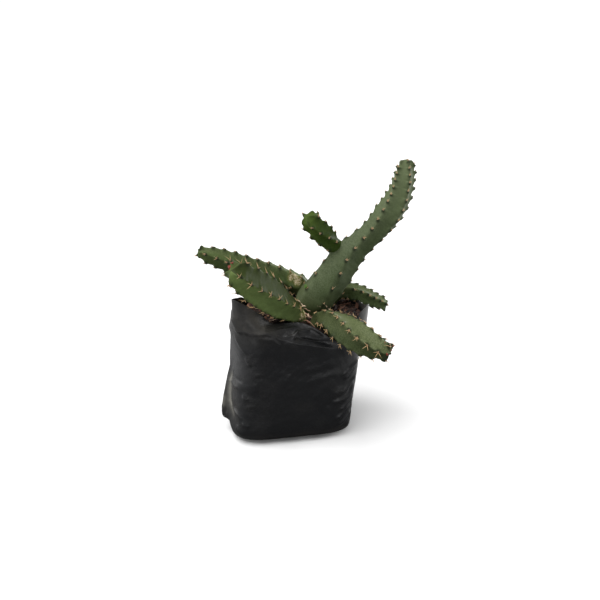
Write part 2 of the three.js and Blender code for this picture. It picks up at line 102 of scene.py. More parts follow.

# Stems: centre line and radius, teeth on each rib and how much closer they stand at the tip, how
# far each rib's teeth are shifted and how pale each face is painted (painted light and shade: a
# face turned from the light is painted darker, one turned to it paler), and for the foot and the
# tip where the first rib lies in degrees, the hollows, the teeth and the rounding of the ribs. Then
# the sides of its mesh, its material's slot and its seed.
# Spines lean to a bearing in degrees round their areole, from the side towards the tip. Their
# length is given for the foot and the tip.
# The offset doesn't stand in soil, and its crown is lower than CROWN.
STEMS = {
    "main_stem": dict(
        path=[
            (16, 0, 94, 9.5), (16.3, 0, 106, 12.4), (18, 0, 113.5, 14.6), (23.6, 0, 121, 15.6),
            (31, 0, 130.5, 15.2), (38, 1, 139.5, 14.8), (48.8, 3, 153, 13.5), (61.4, 4, 164, 10.7),
            (74.4, 5, 175, 10.6), (85, 6.5, 187.6, 11.8), (92.3, 8, 198.8, 10.7), (96.2, 9.3, 209, 9.5),
            (98.4, 10.5, 218.5, 8.5), (99.3, 11.3, 226, 6.8), (99.4, 12, 230.8, 4.8),
        ],
        teeth=16, crowding=0.53, stagger=(-0.65, 0.34, -0.16, 0.26, -0.57), turn=(43, -57),
        faces=(0.35, 0.1, 0.3, 0.5, 0.45), hollow=(0.09, 0.19), tooth=(0.8, 2.2),
        rounding=(0.5, 0.14), around=120, slot="main_stem_skin", seed=3,
        spines=dict(lean=80, length=(2.8, 2.2), width=0.42),
    ),
    "upper_offset": dict(
        path=[
            (46.1, 8.5, 155, 6), (40.5, 6.5, 160, 6.9), (34.3, 3.5, 166.9, 7.8), (27.6, 0.8, 175.1, 8.5),
            (22.2, -1, 181.9, 8.4), (17, -2.8, 188.4, 8), (13.8, -4.2, 192, 6.8),
        ],
        teeth=4, crowding=-0.04, stagger=(-0.18, 0.05, -0.4, 0.26, -0.34), turn=(34, -39),
        faces=(0.25, 0.5, 0.9, 0.4, 0.75), hollow=(0.16, 0.22), tooth=(1.6, 2.3),
        rounding=(0.14, 0.1), around=80, slot="offset_skin", seed=5, in_soil=0, crown=0.55,
        spines=dict(lean=60, length=(2.4, 2.4), width=0.42),
    ),
    "rear_left_stem": dict(
        path=[
            (20, 25.5, 94, 6.5), (19.4, 25.5, 106, 7.4), (17, 25, 114.6, 8.3), (11.2, 22.5, 121.9, 9.2),
            (4.2, 19.5, 127.2, 9.2), (-10.8, 15.5, 135.4, 9.4), (-25.6, 13, 142, 9.5),
            (-45.1, 10, 151, 9), (-57, 8.5, 156.2, 8.3), (-65.2, 7, 159.9, 6.9), (-72, 6, 162.6, 4.8),
            (-74.8, 5.5, 163.6, 3.2),
        ],
        teeth=11, crowding=0.1, stagger=RIB_STAGGER, turn=(-40, -5),
        faces=(0.8, 0.6, 0.4, 0.3, 0.55), hollow=(0.14, 0.22), tooth=(1.2, 1.8),
        rounding=(0.28, 0.1), around=90, slot="rear_stem_skin", seed=7,
        spines=dict(lean=90, length=(2.6, 3.2), width=0.44),
    ),
    "front_left_stem": dict(
        path=[
            (6, -16, 94, 5.5), (6.2, -15.6, 104, 6.2), (4.2, -15.6, 110.2, 8.2), (-2.6, -17.8, 115.4, 10),
            (-13.1, -22.4, 124.6, 12.5), (-23.3, -28, 135.4, 13.9), (-33.2, -34, 145.8, 13.6),
            (-40.9, -39.2, 154.2, 12.2), (-47.6, -43.8, 161.2, 10.4), (-51.8, -46.8, 164.8, 8.6),
        ],
        teeth=8, crowding=-0.04, stagger=(0.29, -0.02, 0.3, -0.1, 0.19), turn=(38, -8),
        faces=(0, 0.3, 0.5, 0.4, 0.95), hollow=(0.18, 0.24), tooth=(1.4, 2),
        rounding=(0.14, 0.07), around=110, slot="front_left_skin", seed=11,
        spines=dict(lean=75, length=(4, 7), width=0.5),
    ),
    "front_right_stem": dict(
        path=[
            (17, -22, 94, 5.6), (18, -22.8, 104, 6), (21.5, -25.4, 109.6, 7), (26.8, -33, 111.4, 9.2),
            (33.6, -45, 110.4, 11.6), (41.4, -57.5, 108.6, 12.4), (48.8, -67.3, 107.2, 11.4),
            (56, -75.2, 105.7, 9.4), (61.4, -80.4, 104.6, 6.8), (63.8, -82.8, 104.2, 4.6),
        ],
        teeth=9, crowding=-0.09, stagger=(-0.22, 0.25, -0.16, 0.26, 0.33), turn=(-58, 25),
        faces=(0, 0.2, 0.5, 0.6, 0.85), hollow=(0.19, 0.24), tooth=(1.2, 1.9),
        rounding=(0.12, 0.08), around=104, slot="front_right_skin", seed=13,
        spines=dict(lean=-20, length=(3.2, 5.8), width=0.48),
    ),
    "rear_right_stem": dict(
        path=[
            (37.5, 16.5, 94, 4.8), (39, 17, 105, 5.2), (44, 17.8, 112.4, 6), (51, 18, 115.4, 7.2),
            (58.4, 18, 113.8, 7.8), (67.8, 18.5, 110, 7.7), (77.2, 19, 104.9, 6.8),
            (85.8, 19.5, 100.4, 5.6), (90.4, 20, 97.6, 4),
        ],
        teeth=8, crowding=0.05, stagger=RIB_STAGGER, turn=(-20, -14),
        faces=(0.35, 0.3, 0.5, 0.6, 1), hollow=(0.17, 0.22), tooth=(1, 1.6),
        rounding=(0.2, 0.1), around=80, slot="rear_stem_skin", seed=17,
        spines=dict(lean=80, length=(2.2, 2.6), width=0.4),
    ),
}

# Bag: its levels below the fold as height, left, right, front and back, then the fold and the rim
MIDDLE_X = 3.0
SQUARENESS = 4.2
RING_SHAPE = (57, 42)
BAG_LEVELS = [
    (0, -50.5, 47, -27.5, 32), (2.5, -54, 50.5, -33.4, 35.5), (9, -56.4, 50.6, -39, 37.5),
    (28, -53.5, 51.7, -40.5, 39.5), (55, -52.5, 54.8, -41.5, 41), (80, -51, 57.4, -42, 41),
]
FOLD = [
    (60.5, -2, 98), (55, 30, 99), (0, 41, 102), (-46, 33, 99), (-50, 3, 102), (-51.6, -33, 118),
    (-36, -42, 113), (-14, -43, 104), (10, -43, 100), (27, -42.5, 91), (40, -42, 89),
    (52, -37, 100), (60.5, -25, 104),
]
RIM = [
    (63, -8, 112.5), (63, 3, 109.5), (62.5, 10, 109.4), (61, 18, 107.8), (57, 30, 107), (42, 37, 110),
    (20, 39, 117), (-2, 39, 117), (-24, 38, 111), (-43, 32, 103), (-48.5, 18, 105), (-45, 6, 113),
    (-40, -5, 122), (-42, -15, 129.6), (-46, -23, 133), (-53, -34, 136.6), (-49, -38.5, 136.6),
    (-39, -37, 130), (-29, -34, 121), (-20, -31.5, 112), (3, -30, 110.5), (17, -35.5, 105),
    (27, -41, 98.5), (34, -42, 95.5), (42, -41.5, 97), (47, -39.5, 104), (48.5, -38.2, 114),
    (53, -36.5, 119.5), (59, -33.5, 123), (63.2, -22, 118.5),
]
WAIST = 4  # the level along which places on the film are measured
BAG_COLUMNS = 420
BAG_ROWS = [4, 7, 20, 28, 28, 24, 30]  # from each level, and the fold, to the next
BOTTOM_ROWS = 5
FILM = 0.35  # its thickness, and where the soil hides it
BURIED_FILM = 1.8
SOIL_LEVEL = 106.5
SOIL_LUMP = 0.8
SOIL_FALL = 0.52  # share of the way out where it begins to fall or rise to its edge
HEAP_SHARE = 0.62  # how far up from the fold to the rim it is heaped
HEAP_RIGHT = (15, 25)  # where to the right and to the back the heap starts, and its run
HEAP_BACK = (-30, 14)


# Small helpers for numbers
def mix(low, high, share):
    return low + (high - low) * share


def smooth(share):
    share = np.clip(share, 0, 1)
    return share * share * (3 - 2 * share)


def past(value, start, run):
    """A smooth step from 0 at a start to 1 a run further on. A run below 0 leads down."""
    return smooth((value - start) / run)


def unit(vectors):
    return vectors / np.maximum(np.linalg.norm(vectors, axis=-1, keepdims=True), 1e-9)


def all_round(count):
    """Evenly spaced angles of a full turn."""
    return np.linspace(0, TURN, count, endpoint=False)


def wrapped(value, cycle=TURN):
    """A value brought to within half a cycle of 0."""
    return (value + cycle / 2) % cycle - cycle / 2


def extended(points):
    """Points with one more at each end, straight on from the last two."""
    return np.concatenate([2 * points[:1] - points[1:2], points, 2 * points[-1:] - points[-2:-1]])


def through(values, knots, at):
    """Smooth curve through values at their knots, from the second knot to the last but one."""
    steps = np.diff(knots)
    shape = (-1,) + (1,) * (values.ndim - 1)
    rate = np.diff(values, axis=0) / steps.reshape(shape)
    wide = (values[2:] - values[:-2]) / (steps[1:] + steps[:-1]).reshape(shape)
    slope = rate[1:] - wide + rate[:-1]
    k = np.clip(np.searchsorted(knots, at, side="right") - 1, 1, len(knots) - 3)
    run = steps[k].reshape(shape)
    t = ((at - knots[k]) / steps[k]).reshape(shape)
    start, end = values[k], values[k + 1]
    out, into = slope[k - 1] * run, slope[k] * run
    return (start * (2 * t**3 - 3 * t**2 + 1) + out * (t**3 - 2 * t**2 + t)
            + end * (3 * t**2 - 2 * t**3) + into * (t**3 - t**2))


def smooth_line(points, count):
    """Samples along a smooth line through points, from the first to the last."""
    padded = extended(np.array(points, float))
    return through(padded, np.arange(len(padded), dtype=float), np.linspace(1, len(points), count))


def even_knots(points):
    """Knots that keep a curve through unevenly spaced points free of loops."""
    gaps = np.sqrt(np.linalg.norm(np.diff(points, axis=0), axis=-1))
    return np.concatenate([[0], np.cumsum(gaps)])


class Line:
    """Centre line of a stem, with its radius and the directions across it."""
    SAMPLES = 2400

    def __init__(self, path):
        self.samples = smooth_line(path, self.SAMPLES)
        steps = np.linalg.norm(np.diff(self.samples[:, :3], axis=0), axis=1)
        self.run = np.concatenate([[0], np.cumsum(steps)])
        self.length = self.run[-1]
        self.along = unit(np.gradient(self.samples[:, :3], axis=0))

    def _read(self, table, distance):
        return np.stack([np.interp(distance, self.run, column) for column in table.T], axis=-1)

    def at(self, distance):
        """Point, radius, and the directions along, to the front and across at a distance."""
        inside = np.clip(distance, 0, self.length)
        sample = self._read(self.samples, inside)
        along = unit(self._read(self.along, inside))
        point = sample[..., :3] + along * (distance - inside)[..., None]
        front = unit(FRONT - along * (along @ FRONT)[..., None])
        return point, sample[..., 3], along, front, np.cross(along, front)


def waves(seed, count, longest, shortest):
    """Sum of seeded waves along a stem and round it, about 1 high."""
    random = np.random.default_rng(seed)
    length = random.uniform(shortest, longest, count)
    turns = random.integers(0, MOST_ROUND, count)
    phase = random.uniform(0, TURN, count)
    side = random.choice([-1, 1], count)

    def height(distance, angle):
        total = sum(np.sin(TURN * distance / w + s * m * angle + p)
                    for w, m, p, s in zip(length, turns, phase, side))
        return total / math.sqrt(count)
    return height


def prepare(stem):
    """Adds what a stem's shape needs: its line, where its cap starts and ends, and its unevenness."""
    random = np.random.default_rng(stem["seed"])
    tip_radius = stem["path"][-1][3]
    stem["line"] = Line(stem["path"])
    stem["ribs_end"] = stem["line"].length - TIP_RUN
    stem["cap_start"] = stem["ribs_end"] - CAP_RUN * tip_radius
    stem["end"] = stem["line"].length + TIP_BULGE * tip_radius
    stem["varied"] = random.uniform(*TOOTH_VARIES, (RIBS, stem["teeth"] + 1))
    stem["waves"] = waves(stem["seed"], *WAVES)
    stem["ripples"] = waves(stem["seed"] + 1, *RIPPLES)


def share_grown(stem, distance):
    """How far along the stem above the soil a distance lies, from 0 to 1."""
    return np.clip((distance - FOOT_DEPTH) / (stem["line"].length - FOOT_DEPTH), 0, 1)


def tooth_distance(stem, place):
    """Distance along a stem of a place counted in teeth."""
    share = place / stem["teeth"]
    spread = share + stem["crowding"] * share * (1 - share)
    return mix(RIBS_START, stem["ribs_end"], spread)


def teeth_passed(stem, distance):
    """How many teeth a distance along the stem has passed, as a fraction."""
    crowding = stem["crowding"]
    spread = (distance - RIBS_START) / (stem["ribs_end"] - RIBS_START)
    spread = np.minimum(spread, PAST_TIP)
    share = ((1 + crowding) - np.sqrt((1 + crowding) ** 2 - 4 * crowding * spread)) / (2 * crowding)
    return share * stem["teeth"]


def rib_face(share, rounding):
    """How far a rib's side has sunk, from 0 on its crest to 1 in the middle of the face."""
    x = (np.sqrt(share**2 + rounding**2) - rounding) / (np.sqrt(1 + rounding**2) - rounding)
    half = math.pi / RIBS
    return (1 - math.cos(half) / np.cos(half * (1 - x))) / (1 - math.cos(half))


def teeth_at(stem, distance, radius, rib, aside):
    """Where there are teeth, how high they stand, and how strong the dark skin and painted shadow round
    their areoles are.
    """
    counted = teeth_passed(stem, distance) - np.array(stem["stagger"])[rib]
    tooth = np.floor(counted).astype(int)
    step = counted - tooth
    present = (tooth >= 0) & (tooth < stem["teeth"])
    ramp = np.sin(np.clip(step / TOOTH_CREST, 0, 1) * math.pi / 2)
    drop = 1 - past(step, TOOTH_CREST, 1 - TOOTH_CREST)
    rise = np.where(step < TOOTH_CREST, ramp, drop)
    slope = rise * np.exp(-(aside / mix(*SLOPE_WIDTH, rise)) ** 2)
    off_side = aside * RIB_PITCH * radius
    off_along = (step - TOOTH_CREST) * (stem["ribs_end"] - RIBS_START) / stem["teeth"]
    knob = np.exp(-((off_side**2 + off_along**2) / KNOB**2) ** KNOB_EDGE)
    off_areole = off_side**2 + (off_along - AREOLE_AHEAD) ** 2
    areole = np.exp(-(off_areole / (AREOLE_SPREAD * KNOB) ** 2) ** 2)
    varied = stem["varied"][rib, np.clip(tooth, 0, stem["teeth"])]
    return present, (SLOPE_HEIGHT * slope + KNOB_HEIGHT * knob) * varied, areole


def stem_surface(stem, distance, angle):
    """Points of a stem's skin, the directions out and along there, and masks for its colours."""
    point, radius, along, front, across = stem["line"].at(distance)
    grown = share_grown(stem, distance)
    begun = past(distance, RIBS_START - RIBS_LEAD, RIBS_RISE)
    ribs = (angle - np.radians(mix(*stem["turn"], grown))) / RIB_PITCH
    nearest = np.round(ribs)
    aside = ribs - nearest
    present, height, areole = teeth_at(stem, distance, radius, nearest.astype(int) % RIBS, aside)
    present = present * begun
    hollow = mix(*stem["hollow"], grown) * begun
    hollow = hollow + TIP_HOLLOW * past(grown, TIP_FROM, 1 - TIP_FROM)
    sunk = rib_face(2 * np.abs(aside), mix(*stem["rounding"], grown))
    reach = radius * (1 - hollow * sunk) + mix(*stem["tooth"], grown) * height * present
    reach = reach + WAVE_HEIGHT * stem["waves"](distance, angle)
    reach = reach + RIPPLE_HEIGHT * stem["ripples"](distance, angle)
    cap = np.clip((distance - stem["cap_start"]) / (stem["end"] - stem["cap_start"]), 0, 1)
    reach = reach * np.sqrt(np.maximum(0, 1 - cap**CAP_ROUNDNESS))
    crown = np.exp(-((cap - CROWN_AT) / CROWN_REACH) ** 4 - (aside / CROWN_WIDTH) ** 4)
    out = front * np.cos(angle)[..., None] + across * np.sin(angle)[..., None]
    push = (out * CROWN_AIM[0] + along * CROWN_AIM[1]) * (stem.get("crown", CROWN) * crown)[..., None]
    toward_foot = stem.get("in_soil", 1) * (1 - past(distance, RIBS_START, FOOT_COLOUR_RUN))
    return dict(
        point=point + out * reach[..., None] + push, out=out, along=along,
        crest=np.exp(-(aside / CREST_WIDTH) ** 2) * begun,
        # areole: dark skin round each areole, partly a painted shadow under the tooth
        areole=np.maximum(areole * present, CROWN_DARK_AND_SHADE * crown),
        tip=past(grown, TIP_COLOUR_FROM, 1 - TIP_COLOUR_FROM), foot=toward_foot,
        # tone: how pale each face is painted, a painted light and shade by face
        tone=np.array(stem["faces"])[np.floor(ribs).astype(int) % RIBS],
        # painted highlight: skin facing up and to the left, towards the light, is marked to be painted
        # paler
        painted_lit_side=past(out @ PAINTED_LIGHT_FROM, *PAINTED_LIGHT_RANGE),
    )


# Small helpers for meshes
def tube_faces(rings, around, first):
    """Quads between rings of points, each ring closed."""
    k = np.arange(around)
    base = first + np.arange(rings - 1)[:, None] * around
    a, b = base + k, base + (k + 1) % around
    return np.stack([a, b, b + around, a + around], axis=-1).reshape(-1, 4)


def ellipses(turn, first, second):
    """Points round an ellipse about the origin, or round one for each pair of half axes."""
    first, second = np.atleast_2d(first), np.atleast_2d(second)
    return (np.cos(turn)[None, :, None] * first[:, None]
            + np.sin(turn)[None, :, None] * second[:, None])


class Shape:
    """Points, faces and point masks that grow into one mesh."""

    def __init__(self):
        self.points, self.faces, self.masks, self.count = [], [], {}, 0

    def add_tube(self, rings, start, end, **masks):
        """A closed tube of rings with a point at both ends.

        A mask is one value, one for each ring, or one for each point of each ring.
        """
        count, around = rings.shape[:2]
        first = self.count + 1
        tail = first + (count - 1) * around
        last = first + count * around
        k = np.arange(around)
        after = (k + 1) % around
        self.faces += tube_faces(count, around, first).tolist()
        self.faces += np.stack([np.full(around, self.count), first + after, first + k], axis=-1).tolist()
        self.faces += np.stack([np.full(around, last), tail + k, tail + after], axis=-1).tolist()
        self.points.append(np.vstack([start[None], rings.reshape(-1, 3), end[None]]))
        self.count = last + 1
        for name, values in masks.items():
            values = np.asarray(values, float)
            if values.ndim == 1:
                values = values[:, None]
            flat = np.broadcast_to(values, (count, around)).reshape(-1)
            self.masks.setdefault(name, []).append(np.concatenate([flat[:1], flat, flat[-1:]]))

    def build(self, name, material, slot):
        mesh = bpy.data.meshes.new(name)
        mesh.from_pydata((np.vstack(self.points) * MM).tolist(), [], self.faces)
        mesh.polygons.foreach_set("use_smooth", np.ones(len(mesh.polygons), bool))
        for mask, values in self.masks.items():
            layer = mesh.attributes.new(mask, "FLOAT", "POINT")
            layer.data.foreach_set("value", np.concatenate(values).astype(np.float32))
        mesh.materials.append(material)
        mesh.update()
        piece = bpy.data.objects.new(name, mesh)
        bpy.context.scene.collection.objects.link(piece)
        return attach(piece, "root")


# Small helpers for materials
class Paint:
    """Short calls that add nodes to one shader tree."""

    def __init__(self, tree):
        self.tree = tree

    def add(self, kind, **settings):
        node = self.tree.nodes.new(kind)
        for key, value in settings.items():
            setattr(node, key, value)
        return node

    def put(self, socket, value):
        """Links a node's output to a socket, or sets the socket's own value."""
        if isinstance(value, bpy.types.NodeSocket):
            self.tree.links.new(value, socket)
        else:
            socket.default_value = value

    def put_all(self, node, values):
        for socket, value in zip(node.inputs, values):
            self.put(socket, value)
        return node.outputs[0]

    def math(self, operation, *values):
        return self.put_all(self.add("ShaderNodeMath", operation=operation), values)

    def times(self, first, second):
        return self.math("MULTIPLY", first, second)

    def scaled(self, value, scale, offset):
        return self.math("MULTIPLY_ADD", value, scale, offset)

    def step(self, value, low, high, at_low=0.0, at_high=1.0):
        """A smooth step between two values of its input."""
        node = self.add("ShaderNodeMapRange", interpolation_type="SMOOTHSTEP")
        return self.put_all(node, (value, low, high, at_low, at_high))

    def mix(self, share, first, second):
        node = self.add("ShaderNodeMix", data_type="RGBA")
        self.put(node.inputs[0], share)
        self.put(node.inputs[6], first)
        self.put(node.inputs[7], second)
        return node.outputs[2]

    def over(self, base, top, mask, strength):
        """A colour with another laid over it where a mask says, at a strength."""
        return self.mix(self.times(mask, strength), base, top)

    def place(self):
        """Where a point lies in its piece, in metres."""
        return self.add("ShaderNodeTexCoord").outputs["Object"]

    def mask(self, name):
        return self.add("ShaderNodeAttribute", attribute_name=name).outputs["Fac"]

    def noise(self, scale, detail=3.0, roughness=0.55, distortion=0.0, vector=None):
        node = self.add("ShaderNodeTexNoise")
        self.put(node.inputs["Scale"], scale)
        node.inputs["Detail"].default_value = detail
        node.inputs["Roughness"].default_value = roughness
        node.inputs["Distortion"].default_value = distortion
        self.put(node.inputs["Vector"], vector or self.place())
        return node.outputs["Fac"]

    def group(self, group, **values):
        node = self.add("ShaderNodeGroup", node_tree=group)
        for key, value in values.items():
            self.put(node.inputs[key], value)
        return node.outputs


def colour(red, green, blue):
    """Linear colour of a screen colour from 0 to 255."""
    values = [channel / 255 for channel in (red, green, blue)]
    return tuple(v / 12.92 if v <= 0.04045 else ((v + 0.055) / 1.055) ** 2.4 for v in values) + (1.0,)


def make_group(name, inputs, outputs, build):
    """Shader group with named float inputs and outputs, whose outputs build() gives."""
    group = bpy.data.node_groups.new(name, "ShaderNodeTree")
    for key, value in inputs.items():
        socket = group.interface.new_socket(key, in_out="INPUT", socket_type="NodeSocketFloat")
        socket.default_value = value
    for key in outputs:
        group.interface.new_socket(key, in_out="OUTPUT", socket_type="NodeSocketFloat")
    start = group.nodes.new("NodeGroupInput")
    end = group.nodes.new("NodeGroupOutput")
    results = build(Paint(group), {key: start.outputs[key] for key in inputs})
    for key, result in zip(outputs, results):
        group.links.new(result, end.inputs[key])
    return group


def make_material(name, look, *given):
    """Material whose look gives colour, roughness and bump height, with the bump's reach."""
    material = bpy.data.materials.new(name)
    material.use_nodes = True
    material.node_tree.nodes.clear()
    paint = Paint(material.node_tree)
    end = paint.add("ShaderNodeOutputMaterial")
    surface = paint.add("ShaderNodeBsdfPrincipled")
    paint.put(end.inputs["Surface"], surface.outputs["BSDF"])
    finish = look(paint, *given)
    paint.put(surface.inputs["Base Color"], finish["colour"])
    paint.put(surface.inputs["Roughness"], finish["roughness"])
    bump = paint.add("ShaderNodeBump")
    bump.inputs["Distance"].default_value = finish["relief"] * MM
    paint.put(bump.inputs["Height"], finish["height"])
    paint.put(surface.inputs["Normal"], bump.outputs["Normal"])
    for key, value in finish.get("set", {}).items():
        surface.inputs[key].default_value = value
    return material


def build_mottle(paint, given):
    """Blotches, and fine specks among them."""
    broad = paint.noise(given["Broad"], 3.0, 0.6, 0.4)
    fine = paint.noise(given["Fine"], 4.0, 0.65)
    return paint.step(broad, 0.34, 0.68), paint.step(fine, 0.4, 0.62)


SCRATCH_STRETCH = (1.0, 1.0, 3.2)
SCRATCH_WIDTH = 0.02


def build_wear(paint, given):
    """Thin scratches and dust that gathers in patches."""
    stretched = paint.add("ShaderNodeMapping")
    paint.put(stretched.inputs["Vector"], paint.place())
    stretched.inputs["Scale"].default_value = SCRATCH_STRETCH
    scratch = paint.noise(given["Scale"], 5.0, 0.7, 1.6, stretched.outputs[0])
    near = paint.math("ABSOLUTE", paint.math("SUBTRACT", scratch, 0.5))
    line = paint.step(near, 0.0, SCRATCH_WIDTH, 1.0, 0.0)
    patch = paint.step(paint.noise(45.0, 4.0, 0.6), 0.45, 0.7)
    return paint.times(line, patch), patch


mottle = make_group("mottle", {"Broad": 60.0, "Fine": 900.0}, ("Blotch", "Speck"), build_mottle)
wear = make_group("wear", {"Scale": 120.0}, ("Scratch", "Dust"), build_wear)

# Skin: colours that all stems share, and how strongly each layer covers what is under it
CORK = colour(178, 160, 114)
PALE_CORK = colour(226, 212, 182)
TOOTH_DARK_AND_SHADOW = colour(26, 34, 18)
FOOT_DARKENING = colour(58, 64, 36)
YELLOWED = colour(128, 126, 70)
TIP_SHARE = 0.7
CREST_SHARE = 0.2
FRECKLE_SHARE = 0.22
TOOTH_SHARE = 0.88
FOOT_SHARE = 0.55
HALO_SHARE = 0.75
SKIN_SHINE = 0.12


def skin_look(paint, roughness, painted_shade_depth, *colours):
    """Stem skin: mottled green, painted darker on faces turned from the light and paler on those turned to
    it, with dark teeth and painted shadow under them.
    """
    shade, dark, light, bloom, tip = (colour(*given) for given in colours)
    spots = paint.group(mottle, Broad=70.0, Fine=1000.0)
    green = paint.mix(spots["Blotch"], dark, light)
    green = paint.over(green, tip, paint.mask("tip"), TIP_SHARE)
    # painted shade: a face with a low tone is mixed towards the shaded face's colour
    green = paint.mix(paint.scaled(paint.mask("tone"), -painted_shade_depth, painted_shade_depth), green, shade)
    # painted highlight: skin facing the light is mixed towards the bloom colour
    painted_lit_side = paint.scaled(paint.mask("tone"), 0.5, 0.3)
    painted_lit_side = paint.times(painted_lit_side, paint.mask("painted_lit_side"))
    painted_lit_side = paint.times(painted_lit_side, paint.scaled(spots["Speck"], 0.7, 0.55))
    green = paint.mix(painted_lit_side, green, bloom)
    green = paint.over(green, bloom, paint.mask("crest"), CREST_SHARE)
    green = paint.over(green, bloom, spots["Speck"], FRECKLE_SHARE)
    # dark teeth: partly dark skin, partly a painted shadow under each tooth
    green = paint.over(green, TOOTH_DARK_AND_SHADOW, paint.mask("areole"), TOOTH_SHARE)
    # darker towards the foot
    green = paint.over(green, FOOT_DARKENING, paint.mask("foot"), FOOT_SHARE)
    ragged = paint.times(paint.mask("scar"), paint.scaled(spots["Speck"], 0.6, 0.55))
    green = paint.over(green, YELLOWED, paint.step(ragged, 0.02, 0.4), HALO_SHARE)
    cork = paint.step(ragged, 0.28, 0.7)
    green = paint.mix(cork, green, paint.mix(spots["Speck"], CORK, PALE_CORK))
    height = paint.math("ADD", paint.noise(1500.0, 3.0, 0.6), paint.times(spots["Blotch"], 0.8))
    height = paint.math("ADD", height, paint.times(cork, spots["Speck"]))
    rough = paint.scaled(spots["Speck"], 0.14, roughness)
    return dict(colour=green, roughness=rough, height=height, relief=0.12,
                set={"Specular IOR Level": SKIN_SHINE})


# Film: how strongly the mud, the painted sheen on the pleat and the scratches cover the black
MUD_STRENGTH = 0.75
PLEAT_SHEEN_STRENGTH = 0.7
SCRATCH_STRENGTH = 0.2
# Roughness of clean film, and what unevenness, mud and the dull folds add
FILM_ROUGHNESS = 0.26
UNEVEN_ROUGHNESS = 0.12
MUD_ROUGHNESS = 0.25
DULL_ROUGHNESS = 0.06
FILM_SHINE = 0.46


def film_look(paint):
    """Black polythene: soft shine, duller where it is folded in, with crinkles and dried mud, a pale lit
    lip and a sheen on the pleat, both painted light.
    """
    marks = paint.group(wear, Scale=130.0)
    black = paint.mix(paint.noise(25.0, 3.0), colour(6, 8, 11), colour(10, 12, 17))
    # painted light: the thin lip at the right rim, lit from above, is painted pale grey
    black = paint.mix(paint.mask("thin"), black, colour(86, 86, 84))
    mud = paint.times(paint.scaled(marks["Dust"], 0.65, 0.35), paint.mask("mud"))
    black = paint.over(black, colour(70, 65, 56), mud, MUD_STRENGTH)
    # painted sheen: pale streaks along the pleat's lit flank
    black = paint.over(black, colour(120, 118, 110), paint.mask("dusty"), PLEAT_SHEEN_STRENGTH)
    black = paint.over(black, colour(80, 80, 82), marks["Scratch"], SCRATCH_STRENGTH)
    broad = paint.noise(90.0, 2.0, 0.5, 1.2)
    crinkle = paint.noise(380.0, 4.0, 0.6, 0.8)
    rough = paint.scaled(broad, UNEVEN_ROUGHNESS, FILM_ROUGHNESS)
    rough = paint.scaled(mud, MUD_ROUGHNESS, rough)
    rough = paint.scaled(paint.mask("dull"), DULL_ROUGHNESS, rough)
    return dict(colour=black, roughness=rough, relief=0.2,
                height=paint.math("ADD", paint.times(broad, 1.6), crinkle),
                set={"Specular IOR Level": FILM_SHINE})


def soil_look(paint):
    """Potting mix: dark crumbs with paler specks."""
    spots = paint.group(mottle, Broad=160.0, Fine=700.0)
    earth = paint.mix(spots["Blotch"], colour(24, 18, 15), colour(52, 38, 30))
    earth = paint.over(earth, colour(86, 62, 46), spots["Speck"], 0.4)
    height = paint.math("ADD", spots["Speck"], paint.noise(1200.0, 3.0))
    return dict(colour=earth, roughness=0.92, height=height, relief=0.6)


# Bark, from its darkest tone to its palest
BARK_TONES = [(0.0, (24, 17, 14)), (0.45, (62, 38, 28)), (0.75, (104, 66, 46)), (1.0, (150, 116, 84))]


def bark_look(paint):
    """Bark, from black brown to red brown and straw by each chip's own tone, with grain."""
    ramp = paint.add("ShaderNodeValToRGB")
    while len(ramp.color_ramp.elements) < len(BARK_TONES):
        ramp.color_ramp.elements.new(0.5)
    for element, (place, given) in zip(ramp.color_ramp.elements, BARK_TONES):
        element.position = place
        element.color = colour(*given)
    grain = paint.noise(500.0, 4.0, 0.65)
    paint.put(ramp.inputs[0], paint.math("ADD", paint.mask("tone"), paint.scaled(grain, 0.5, -0.25)))
    return dict(colour=ramp.outputs[0], roughness=0.85, height=grain, relief=0.5)


def spine_look(paint):
    """Spines: pale horn, browner at the root and dark at the point."""
    along = paint.mask("along")
    streak = paint.noise(900.0, 2.0)
    horn = paint.mix(paint.step(along, 0.0, 0.35), colour(164, 120, 76), colour(216, 182, 134))
    horn = paint.mix(paint.step(along, 0.75, 1.0), horn, colour(170, 124, 78))
    horn = paint.over(horn, colour(186, 148, 100), streak, 0.3)
    return dict(colour=horn, roughness=0.5, height=streak, relief=0.05)


def felt_look(paint):
    """The short wool that the spines grow from."""
    fuzz = paint.noise(2600.0, 3.0, 0.7)
    wool = paint.mix(fuzz, colour(74, 56, 40), colour(178, 146, 110))
    return dict(colour=wool, roughness=0.95, height=fuzz, relief=0.25, set={"Sheen Weight": 0.2})


def growth_look(paint, deep, bright):
    """Fresh growth, mottled from a deep to a bright colour."""
    spots = paint.group(mottle, Broad=300.0, Fine=1500.0)
    fresh = paint.mix(spots["Blotch"], colour(*deep), colour(*bright))
    return dict(colour=fresh, roughness=0.45, height=spots["Speck"], relief=0.08)


def litter_look(paint):
    """Dry scraps and fibres, from red brown to straw by each one's own tone."""
    fleck = paint.noise(600.0, 4.0, 0.65)
    shade = paint.math("ADD", paint.mask("tone"), paint.scaled(fleck, 0.6, -0.3))
    dry = paint.mix(shade, colour(104, 54, 32), colour(214, 188, 160))
    return dict(colour=dry, roughness=0.75, height=fleck, relief=0.3)


